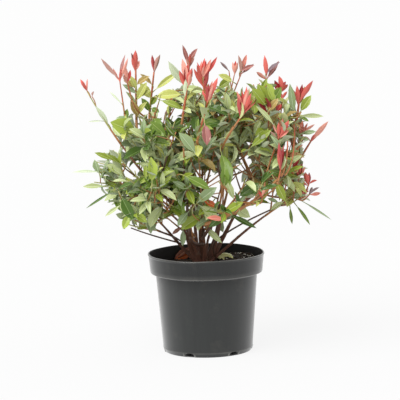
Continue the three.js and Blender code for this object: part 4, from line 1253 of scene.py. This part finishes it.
# Flush
# New shoots that have just run up past the crown: stems that end in a tuft of narrow red leaves. Each is
# given by the mass that carries it, how far back from the pot's axis it stands (mm), its stem's foot and top
# in the photograph's frame, its radius (mm), the share of its leaves' length that they are wide, their tints
# and their tips.
FLUSH_SHOOTS = [
    ("far_left", 13, (88, 92), (86.5, 90), 0.9, 0.3, "red coral", [(80, 79), (88.5, 79), (83, 82)]),
    ("far_left", 12, (93.5, 99), (92, 96.5), 0.7, 0.3, "dusky", [(94.5, 91.5)]),
    ("left_front", -58, (124.5, 114), (119.5, 79), 1.1, 0.18, "dusky dusky coral coral red",
     [(100, 58.5), (123.5, 53.5), (127, 58), (113, 68), (121, 68)]),
    ("top_left", -40, (132, 100), (127, 82), 1.2, 0.28, "coral red", [(125, 66), (130, 70), (123, 74)]),
    ("top_left", -8, (136.5, 120), (135.7, 70), 1.8, 0.3, "red coral red dusky",
     [(135.5, 50), (139.5, 60), (131.5, 58), (128.5, 53.5)]),
    ("back_left_high", 66, (149.5, 114), (154, 72), 1.7, 0.2, "deep_red coral dusky",
     [(152, 54.5), (156.5, 57), (160, 54)]),
    ("back_high", 52, (188, 88), (189.5, 65), 1.2, 0.22, "coral dusky red dusky",
     [(196.5, 48), (182, 45), (190, 53), (194, 57), (186.5, 58)]),
    ("crest", -66, (181, 130), (187.5, 85), 2.0, 0.3, "coral red red deep_red",
     [(180.5, 59), (187, 63), (193.5, 69), (184, 66), (191, 73), (179, 70), (189, 67)]),
    ("top_front", -62, (207, 104), (203, 84), 1.7, 0.2, "red coral red deep_red",
     [(206, 60), (200.5, 60), (196, 63), (210, 66), (193, 68), (203, 64), (198.5, 61), (208, 70)]),
    ("front", -140, (197.5, 140), (208, 100), 1.8, 0.23, "red coral deep_red",
     [(217, 77), (212, 81), (205.5, 85), (202, 90), (215, 86), (209, 83), (213, 90)]),
    ("back_high", 60, (231, 90), (234.5, 74), 0.9, 0.3, "coral red", [(231.5, 62), (236, 61), (238.5, 63)]),
    ("top_front", -30, (233, 94), (241.5, 73), 1.0, 0.28, "coral dusky dusky",
     [(247, 55), (254, 64.5), (238, 55)]),
    ("back_high", 84, (231, 86), (229, 71), 0.8, 0.22, "purple", [(220, 61.5)]),
    ("front_low", -138, (234, 127), (244.5, 112), 1.4, 0.18, "red coral red deep_red",
     [(246, 86), (236, 91), (251, 93), (241, 95), (256, 102), (249, 88), (243, 90), (237, 97), (253, 99)]),
    ("top_right", 18, (264, 100), (267, 78), 1.2, 0.26, "red dusky coral",
     [(263.5, 55), (279, 61), (255.5, 71)]),
    ("back_right_high", 70, (278, 104), (281, 91), 1.2, 0.42, "red deep_red",
     [(278, 76), (285, 80), (288, 83), (274.5, 80)]),
    ("top_right", -20, (281, 112), (282.5, 99), 1.0, 0.4, "red deep_red", [(287, 91), (281, 92)]),
    ("right_front", -74, (275, 120), (277, 113), 1.1, 0.34, "deep_red red", [(275, 101), (281, 103)]),
    ("right_high", -12, (295, 132), (299, 103), 2.1, 0.26, "red deep_red red bronze",
     [(313, 80), (302, 84), (297, 86), (306, 86), (294.5, 89)]),
    ("right", 15, (301, 157), (311, 141), 1.7, 0.19, "coral dusky red",
     [(328.5, 121), (319, 132), (315, 134), (323, 127)]),
    ("right", 30, (297, 150), (302.5, 132), 1.5, 0.24, "coral dusky red",
     [(315, 124), (303, 119), (297, 122), (308, 123), (306, 131)]),
    ("right_front", -102, (266, 174), (279, 136), 1.3, 0.26, "coral dusky red",
     [(273.5, 124), (285, 127), (279, 123), (290, 128), (270, 131), (289, 120), (283, 118)]),
    ("right_front", -130, (278, 182), (281, 168), 1.4, 0.16, "deep_red deep_red red",
     [(279.5, 142), (284, 151), (277.5, 152), (282, 144), (280.5, 148)]),
    ("right", -30, (296, 186), (300, 176), 1.2, 0.28, "red deep_red",
     [(298.5, 162), (303, 164), (294, 166)]),
    ("right_low", -30, (304, 196), (309, 184), 1.2, 0.36, "red deep_red",
     [(317, 179.5), (309.5, 172), (304.5, 173)]),
    ("right_low", -34, (305, 199), (310, 194), 1.1, 0.3, "purple coral",
     [(319, 186.5), (321, 193), (313, 186)]),
    ("right_low", -50, (293, 200), (294, 194), 1.0, 0.24, "deep_red dusky", [(292, 179), (297, 181)]),
    ("front_low", -126, (262, 200), (262, 196), 1.0, 0.4, "coral red", [(264, 188), (258, 190)]),
]
FLUSH_SPACING = 1.6
SLIMMEST_FLUSH = 4.6
FLUSH_BARE = 16.0
FLUSH_UP = 0.4
FLUSH_ANYHOW = 0.35
FLUSH_WIDTH_VARIES = (0.75, 1.05)
FLUSH_FOLD = (16.0, 42.0)
FLUSH_BEND = (-24.0, 24.0)
TUFT_DEPTH = np.array([0.0, 8.0, -8.0, 5.0, -5.0])
STEM_JOIN, STEM_FOOT, STEM_TOP = 1.3, 1.2, 0.8


def straight_shoot(mass, foot, end, seed):
    """A straight shoot of that mass from its foot to its end, with its own spiral, as leaf_out takes it."""
    bow = np.stack([foot, (foot + end) / 2, end])
    shoot = dict(mass=mass, bow=bow, length=np.linalg.norm(end - foot), across=BOUGHS[mass]["across"])
    return dict(shoot, phase=leaf_draw.uniform(0, 360), random=seeded(seed))


for mass, depth, foot, top, radius, slimness, tints, tips in FLUSH_SHOOTS:
    foot, top = seen_at(foot, depth), seen_at(top, depth)
    axis = unit(top - foot)
    add_joined_twig(mass, foot, axis, radius * STEM_JOIN, radius * STEM_FOOT, TAN, TAN)
    stem = straight_shoot(mass, foot, top, len(tints))
    thick = (radius * STEM_FOOT, max(SHOOT_TIP_RADIUS, radius * STEM_TOP))
    add_twig(mass, stem["bow"], *thick, TAN, RED, EARLY_NEW_WOOD)
    BOUGHS[mass]["wood"].append(stem["bow"])
    leaf_out(stem, False, FLUSH_BARE)
    count = len(tips)
    off = np.resize(TUFT_DEPTH, count)
    ends = np.stack([seen_at(tip, depth + away) for tip, away in zip(tips, off)])
    root = top - axis * (FLUSH_SPACING * np.arange(count))[:, None]
    length = np.linalg.norm(ends - root, axis=1)
    inward = np.where(off > 0, -1.0, 1.0)[:, None] * [0, 1, 0]
    upper = inward + FLUSH_UP * axis + leaf_draw.normal(0, FLUSH_ANYHOW, (count, 3))
    width = np.maximum(SLIMMEST_FLUSH, length * slimness * leaf_draw.uniform(*FLUSH_WIDTH_VARIES, count))
    fold = np.radians(leaf_draw.uniform(*FLUSH_FOLD, count))
    bend = np.radians(leaf_draw.uniform(*FLUSH_BEND, count))
    own = np.resize([TINT[tint] for tint in tints.split()], count)
    add_leaves(mass, root, unit(ends - root), upper, length, width, fold, bend, own)

# Marked leaves
# Single leaves that stand out on the plant, by their size, colour or place on its outline. Each is given by
# the mass that carries it, its root and tip in the photograph's frame, how far back both lie (mm), the share
# of its length that it is wide, and its tint. A short twig joins it to the wood behind it.
MARKED_LEAVES = [
    ("left_front_low", (152, 183), (152, 157), -158, -162, 0.42, "fresh_green"),
    ("left_front", (137, 134), (111, 121), -104, -112, 0.6, "mid_green"),
    ("left_front", (146, 134), (128, 131), -112, -118, 0.36, "yellow_green"),
    ("far_left", (109, 125), (96, 106), 10, 6, 0.24, "pale_grey"),
    ("far_left", (104, 121), (88, 121), 10, 4, 0.1, "pale_grey"),
    ("left", (100, 172), (72, 170.5), -4, -8, 0.13, "pale_grey"),
    ("left", (112, 160), (95, 152), -24, -30, 0.3, "mid_green"),
    ("left", (99, 173), (94, 160), -20, -24, 0.5, "grey_green"),
    ("left", (104, 186), (83, 186), -20, -28, 0.26, "light_green"),
    ("left_low", (113, 191), (85, 208), -40, -44, 0.08, "dark_green"),
    ("left_low", (121, 205), (104.5, 216), -60, -64, 0.22, "light_green"),
    ("left_front", (167, 137), (151, 121), -138, -144, 0.4, "full_green"),
    ("left_low", (130, 214), (123, 229), -70, -76, 0.5, "fresh_green"),
    ("left_low", (134, 213), (147, 222), -96, -104, 0.5, "fresh_green"),
    ("left_low", (121, 196), (133, 220), -92, -104, 0.42, "dark_green"),
    ("left_low", (148, 218), (151.5, 234), -60, -66, 0.36, "grey_green"),
    ("right_low", (290, 207), (292, 224.5), -30, -34, 0.2, "full_green"),
    ("right_low", (296, 205), (311, 224.5), -34, -44, 0.15, "full_green"),
    ("right_low", (302, 201), (333, 219.5), -28, -26, 0.065, "grey_green"),
    ("right_high", (299, 116), (324, 115.5), -8, -8, 0.2, "light_green"),
    ("right_high", (300, 117), (309, 121), -10, -14, 0.4, "full_green"),
    ("right_high", (300, 136), (302, 121), -14, -18, 0.3, "coral"),
    ("right_high", (292, 118), (278, 117), -44, -52, 0.45, "dark_green"),
    ("right_high", (298, 137), (309, 140), -20, -24, 0.4, "grey_green"),
    ("right", (299, 146), (293, 166), -40, -46, 0.42, "full_green"),
    ("right_front", (296, 172), (281, 176), -84, -92, 0.45, "mid_green"),
    ("right_front", (274, 125), (257, 105), -104, -110, 0.2, "light_green"),
    ("right_high", (300, 112), (311, 95), -12, -14, 0.42, "mid_green"),
    ("right_high", (294, 114), (290, 84), -22, -28, 0.24, "grey_green"),
    ("right_high", (290, 119), (287, 103), -30, -36, 0.5, "grey_green"),
    ("top_left", (137, 94), (123, 84), -14, -20, 0.34, "grey_green"),
    ("top_left", (136, 88), (124, 80), -12, -18, 0.46, "bronze"),
    ("top_left", (136.5, 90), (131, 76), -12, -16, 0.4, "yellow_green"),
    ("back_left_high", (151, 99), (140.5, 83), 60, 52, 0.45, "yellow_green"),
    ("top_left", (136.5, 101), (146, 82), -14, -20, 0.36, "yellow_green"),
    ("top_left", (136, 106), (127, 91), -12, -20, 0.34, "light_green"),
    ("back_left_high", (150, 106), (157, 95), 54, 46, 0.4, "mid_green"),
    ("back_left_high", (152.5, 85), (141, 73.5), 64, 56, 0.3, "bronze"),
    ("top_left", (126, 120), (127, 109), -40, -44, 0.5, "full_green"),
    ("top_left", (137, 116), (146, 101), -10, -16, 0.42, "yellow_green"),
    ("top_left", (139, 118), (131, 100), -14, -20, 0.4, "bronze"),
    ("back_left_high", (150, 112), (142, 98), 50, 44, 0.42, "full_green"),
    ("back_high", (188.5, 61), (197, 48), 50, 46, 0.3, "dusky"),
    ("top_front", (218, 88), (231, 79), -30, -36, 0.5, "mid_green"),
    ("top_front", (204, 77), (217.5, 57), -60, -64, 0.18, "red"),
    ("top_front", (203.5, 77), (211, 59), -66, -70, 0.2, "coral"),
    ("top_front", (202.5, 78), (204, 58), -62, -64, 0.2, "red"),
    ("top_front", (241, 71), (254, 64.5), -32, -36, 0.32, "dusky"),
    ("top_front", (240.5, 70), (247, 55), -30, -33, 0.26, "coral"),
    ("top_right", (266, 74), (279, 61), 16, 12, 0.3, "purple"),
    ("back_left_high", (155, 90), (177, 72), 60, 50, 0.22, "yellow_green"),
    ("back_left_high", (151, 108), (159, 112), 50, 40, 0.6, "full_green"),
    ("crest", (186, 86), (167.5, 62), 10, 4, 0.28, "pale_grey"),
    ("crest", (154, 97), (181, 93), -30, -36, 0.4, "yellow_green"),
    ("crest", (160, 100), (183, 108), -40, -50, 0.32, "mid_green"),
    ("top_front", (233, 82), (219, 74), -44, -50, 0.44, "yellow_green"),
    ("top_front", (239, 108), (222, 90), -56, -64, 0.2, "light_green"),
    ("top_right", (270, 106), (258, 84), -86, -92, 0.46, "mid_green"),
    ("top_right", (272, 104), (281, 87), -84, -90, 0.46, "full_green"),
    ("top_right", (266, 106), (253, 88), -92, -100, 0.46, "mid_green"),
    ("top_right", (274, 104), (268, 82), -88, -92, 0.46, "fresh_green"),
    ("top_right", (268, 112), (278, 98), -92, -96, 0.42, "bronze"),
    ("front", (196, 154), (180, 132), -164, -172, 0.42, "grey_green"),
    ("front", (204.5, 123), (207.5, 145), -160, -176, 0.42, "dusky"),
    ("right_front", (250, 148), (271, 129), -112, -116, 0.3, "mid_green"),
    ("front_low", (221, 152), (231, 183), -136, -180, 0.31, "full_green"),
    ("front_low", (225, 177), (234, 199), -140, -148, 0.3, "light_green"),
    ("front", (185, 176), (210, 188), -146, -156, 0.36, "full_green"),
    ("front_low", (197, 203), (216, 187), -120, -130, 0.42, "grey_green"),
    ("front_low", (199, 205), (219, 219), -110, -120, 0.38, "light_green"),
    ("left_front_low", (189, 211), (177, 226), -90, -96, 0.42, "grey_green"),
    ("left_front_low", (173, 206), (185, 212), -100, -108, 0.6, "full_green"),
    ("front_low", (238, 197), (259, 183), -120, -126, 0.42, "dark_green"),
    ("front_low", (229, 214), (257, 228), -60, -66, 0.18, "dark_green"),
    ("front_low", (203, 200), (217, 207), -126, -132, 0.42, "dead_brown"),
    ("front_low", (225, 220), (207, 217), -132, -140, 0.34, "coral"),
    ("right_low", (284, 201), (270, 210), -60, -64, 0.34, "light_green"),
    ("left_front_low", (183, 229), (183, 246), -50, -56, 0.36, "grey_green"),
    ("left_front_low", (182, 227), (172, 234), -46, -50, 0.34, "withered"),
    ("front_low", (204, 226), (222, 243), -56, -64, 0.26, "light_green"),
    ("top_left", (136, 85), (149, 75.5), -10, -14, 0.4, "bronze"),
    ("top_left", (136.5, 97), (150, 90), -12, -18, 0.4, "yellow_green"),
    ("left_front", (122, 104), (109.5, 91), -56, -52, 0.12, "pale_grey"),
    ("right_front", (276, 182), (285, 201), -112, -120, 0.42, "mid_green"),
    ("right_low", (307, 195), (289, 197), -40, -46, 0.32, "grey_green"),
    ("right_low", (279, 203), (268, 198), -56, -62, 0.36, "grey_green"),
    ("right_high", (301, 134), (316, 131), -18, -24, 0.34, "grey_green"),
]
SPUR_RADIUS = 0.9
MARKED_FACING = np.array([0.0, -1.0, 0.55])
MARKED_ANYHOW = 0.25
MARKED_FOLD = np.radians(24)
MARKED_BEND = np.radians(12)
for mass, root, tip, root_depth, tip_depth, slimness, tint in MARKED_LEAVES:
    root, tip = seen_at(root, root_depth), seen_at(tip, tip_depth)
    length = np.linalg.norm(tip - root)
    add_joined_twig(mass, root, unit(tip - root), SPUR_RADIUS, SHOOT_TIP_RADIUS, TAN, GREEN)
    facing_way = MARKED_FACING + leaf_draw.normal(0, MARKED_ANYHOW, 3)
    row = (root[None], unit(tip - root)[None], facing_way[None], length, length * slimness)
    add_leaves(mass, *row, MARKED_FOLD, MARKED_BEND, TINT[tint])

# Low sprays
# Short leafy side shoots on the bare stems over the pot's mouth. Each has its mass, its foot and its tip in
# the photograph's frame, and how far back both lie (mm).
LOW_SPRAYS = [
    ("left_front_low", (195, 236), (174, 211), -40, -80),
    ("front", (193, 238), (186, 203), -50, -90),
    ("front_low", (205, 235), (214, 208), -50, -90),
    ("left_front_low", (182, 230), (160, 212), -30, -70),
    ("left_front", (188, 222), (196, 190), -20, -50),
    ("front", (201, 226), (204, 196), -60, -110),
]
LOW_SPRAY_JOIN = 1.6
LOW_SPRAY_RADIUS = 1.5
LOW_SPRAY_GREEN_FROM = 0.7
for number, (mass, start, end, start_depth, end_depth) in enumerate(LOW_SPRAYS):
    start, end = seen_at(start, start_depth), seen_at(end, end_depth)
    add_joined_twig(mass, start, unit(end - start), LOW_SPRAY_JOIN, LOW_SPRAY_RADIUS, BROWN, TAN)
    spray = straight_shoot(mass, start, end, number)
    leaf_out(spray, False)
    add_twig(mass, spray["bow"], LOW_SPRAY_RADIUS, SHOOT_TIP_RADIUS, TAN, GREEN, LOW_SPRAY_GREEN_FROM)

# Leaf blades
# The leaves noted above, leathery and closed all round, with those of one mass as one piece. Rows lie along a
# leaf from its stalk's root, each with the share of the greatest width there, and eight points go round each
# row: edge, half way, both sides of the rib, half way, edge, and two below.
BLADE_ROWS = np.array([(0.0, 0.0), (0.1, 0.0), (0.19, 0.46), (0.36, 0.86), (0.57, 1.0), (0.79, 0.68)])
STALK_RADIUS = 0.55
STALK_WIDE, STALK_DEEP = 1.3, 1.6
STALK_SECTION = np.array([0, 0.5, 0.6, 0.6, 0.5, 0, -0.6, -0.6])
RIB_HALF_WIDTH = 0.45
RIB_SUNK = 0.2
HALF_WAY = 0.52
KEEL = 0.1
BLADE_THICKNESS = 0.6
BLADE_FULLNESS = 0.05
EDGE_WAVE = 0.035
FLATTEST_BEND = 1e-3
BLADE_SIDES = 8
EDGES = [0, 5]
UPPER, RIB, UNDER = range(3)
ROUND_LEAF = np.array([UPPER, UPPER, RIB, UPPER, UPPER, UNDER, UNDER, UNDER])


def leaf_skins(rows):
    """Closed blades for rows of leaves. Along each leaf the midrib is an arc that bends away from the upper
    side. At each row eight points lie across it: edges lifted by the fold and waved, the halves slightly
    full, the rib sunk above and raised below. The rows shrink to a stalk at the root and to a point at the
    tip."""
    root, direction, upper = rows[:, 0:3], rows[:, 3:6], rows[:, 6:9]
    length, width, fold, bend = (rows[:, i, None] for i in (9, 10, 11, 12))
    bend = np.where(np.abs(bend) < FLATTEST_BEND, FLATTEST_BEND, bend)
    side = np.cross(direction, upper)
    turn = bend * np.append(BLADE_ROWS[:, 0], 1.0)
    ahead = length * np.sin(turn) / bend
    below = length * (1 - np.cos(turn)) / bend
    rib = root[:, None] + ahead[..., None] * direction[:, None] - below[..., None] * upper[:, None]
    normal = np.cos(turn)[..., None] * upper[:, None] + np.sin(turn)[..., None] * direction[:, None]
    half = np.maximum(width / 2 * BLADE_ROWS[:, 1], STALK_RADIUS * STALK_WIDE)[..., None]
    rib_half = np.minimum(RIB_HALF_WIDTH, half / 2)
    half_way, keel = half * HALF_WAY, half * KEEL
    across = np.concatenate([-half, -half_way, -rib_half, rib_half, half_way, half, keel, -keel], axis=-1)
    sunk = np.array([0, 0, -RIB_SUNK, -RIB_SUNK, 0, 0, -BLADE_THICKNESS, -BLADE_THICKNESS])
    full = np.array([0, BLADE_FULLNESS, 0, 0, BLADE_FULLNESS, 0, 0, 0]) * width[:, :, None]
    wave = leaf_draw.normal(0, EDGE_WAVE, (len(rows), len(BLADE_ROWS), 2)) * width[:, :, None]
    blade = (BLADE_ROWS[:, 1] > 0)[None, :, None]
    lift = np.abs(across) * np.tan(fold)[:, :, None] + sunk + full * blade
    lift[..., EDGES] += wave * blade
    stalk = np.where(blade, 0.0, 1.0)
    lift = lift * (1 - stalk) + stalk * STALK_SECTION * STALK_RADIUS * STALK_DEEP
    rings = rib[:, :-1, None] + across[..., None] * side[:, None, None]
    rings = rings + lift[..., None] * normal[:, :-1, None]
    return closed_rings(rings, root, rib[:, -1])


def leaf_wear(rows):
    """The material slot of every face of those leaves: three for each tint, the rib's on the stalk too."""
    tint = 3 * rows[:, 13].astype(int)
    on_quads = np.tile(ROUND_LEAF, (len(BLADE_ROWS) - 1, 1))
    on_quads[0] = RIB
    on_ends = np.concatenate([np.full(BLADE_SIDES, RIB), ROUND_LEAF])
    quads = tint[:, None] + on_quads.ravel()
    ends = tint[:, None] + on_ends
    return np.concatenate([quads.ravel(), ends.ravel()])


# Leaf surfaces: leathery and waxy above with a clear gloss, duller below where the wax is a grey bloom, and a
# smooth paler midrib and stalk. New red leaves are thin and have less wax.
LEAF_PARTS = ("upper", "midrib", "underside")
LEAF_ROUGHNESS = (0.27, 0.5, 0.55)
FLUSH_ROUGHNESS = (0.32, 0.5, 0.55)
leaf_materials = []
for tint, colours in LEAF_TINTS.items():
    finish = FLUSH_ROUGHNESS if tint in FLUSH_TINTS else LEAF_ROUGHNESS
    for part, colour, roughness in zip(LEAF_PARTS, colours, finish):
        leaf_surface, tree, shader = new_material("_".join(["leaf", tint, part]), roughness, ior=1.4)
        shader.inputs["Base Color"].default_value = linear(colour)
        leaf_materials.append(leaf_surface)


def worn_only(worn, materials):
    """The faces' slots counted anew over the materials that they use, and those materials."""
    used, counted = np.unique(worn, return_inverse=True)
    return counted.reshape(-1), [materials[number] for number in used]


for name in BOUGHS:
    rows = np.concatenate(leaves[name])
    skin = leaf_skins(rows)
    worn, used = worn_only(leaf_wear(rows), leaf_materials)
    border = np.zeros((len(rows), len(BLADE_ROWS), BLADE_SIDES), bool)
    border[:, :, EDGES] = True
    on_ends = np.tile([False, True], (len(rows), 1))
    creased = np.concatenate([border.reshape(len(rows), -1), on_ends], axis=1).ravel()
    add_piece("leaves_" + name, ["foliage_" + name], skin, used, worn, creased)

# Fallen leaves
# Dead leaves that have dropped in the pot: a withered one and an orange one curled up against the foot of the
# stems, and a straw-coloured one that lies on the heaped soil, its tint paler still as painted light, for it
# lies in shade. Each has its root and tip in the photograph's frame, the share of its length that it is wide,
# its bend and fold (degrees) and its tint.
FALLEN_LEAVES = [
    ((193, 247), (173.5, 257.5), 0.28, 20, 34, "withered"),
    ((192, 255), (175, 258), 0.34, 24, 26, "dead_brown"),
    ((216, 255), (233, 258), 0.46, 14, 10, "straw"),
]
FALLEN_LIE = 4.5
FALLEN_CLEARANCE = 4.0
FALLEN_FACING = np.array([0.0, -0.8, 0.75])
SIGHT_STEP = 0.5


def lying_at(pixel):
    """The place on the soil that shows at a pixel of the photograph's frame: the first along the sight line
    where the soil comes up to it, or else the furthest one that the line passes over inside the pot."""
    depths = np.arange(-RIM_RADIUS, RIM_RADIUS + SIGHT_STEP, SIGHT_STEP)
    places = np.stack([seen_at(pixel, depth) for depth in depths])
    within = np.linalg.norm(places[:, :2], axis=1) < SOIL_EDGE_RADIUS - FALLEN_CLEARANCE
    reached = within & (places[:, 2] < soil_height(places) + FALLEN_LIE)
    return places[np.argmax(reached) if reached.any() else np.flatnonzero(within)[-1]]


fallen = []
for root, tip, slimness, bend, fold, tint in FALLEN_LEAVES:
    root, tip = lying_at(root), lying_at(tip)
    length = np.linalg.norm(tip - root)
    direction = (tip - root) / length
    upper = unit(FALLEN_FACING - direction * (FALLEN_FACING @ direction))
    shape = [length, length * slimness, np.radians(fold), np.radians(bend), TINT[tint]]
    fallen.append(np.concatenate([root, direction, upper, shape]))
fallen = np.array(fallen)
worn, used = worn_only(leaf_wear(fallen), leaf_materials)
add_piece("fallen_leaves", ["potting_soil"], leaf_skins(fallen), used, worn)

# Twigs
# The shoots, stems and spurs noted above: round young wood that tapers along its bow and changes its skin
# where the new growth begins. It has grown out of what carries it, and the wood of one mass is one piece.
TWIG_RINGS = 10
TWIG_SIDES = 7
NEARLY_UP = np.array([0.31, 0.17, 1.0])
for name in BOUGHS:
    shares = np.linspace(0, 1, TWIG_RINGS)
    paths = np.stack([on_bow(twig[0], shares) for twig in twigs[name]])
    foot, tip, old_wood, new_wood, new_from = (
        np.array([twig[i] for twig in twigs[name]])[:, None] for i in range(1, 6)
    )
    runs = paths[:, -1] - paths[:, 0]
    sideways = unit(np.cross(runs, NEARLY_UP) + 1e-6)
    taper = (foot + (tip - foot) * shares)[..., None] * np.ones(TWIG_SIDES)
    rings = carried(paths, sideways[:, None], taper, TWIG_SIDES)
    skin = closed_rings(rings, paths[:, 0], paths[:, -1])
    kinds = np.where(shares[:-1] >= new_from, new_wood, old_wood)
    quads = np.repeat(kinds[..., None], TWIG_SIDES, axis=-1)
    ends = np.repeat(np.concatenate([kinds[:, :1], kinds[:, -1:]], axis=1), TWIG_SIDES, axis=1)
    worn, used = worn_only(np.concatenate([quads.ravel(), ends.ravel()]), twig_materials)
    add_piece("twigs_" + name, ["foliage_" + name], skin, used, worn)
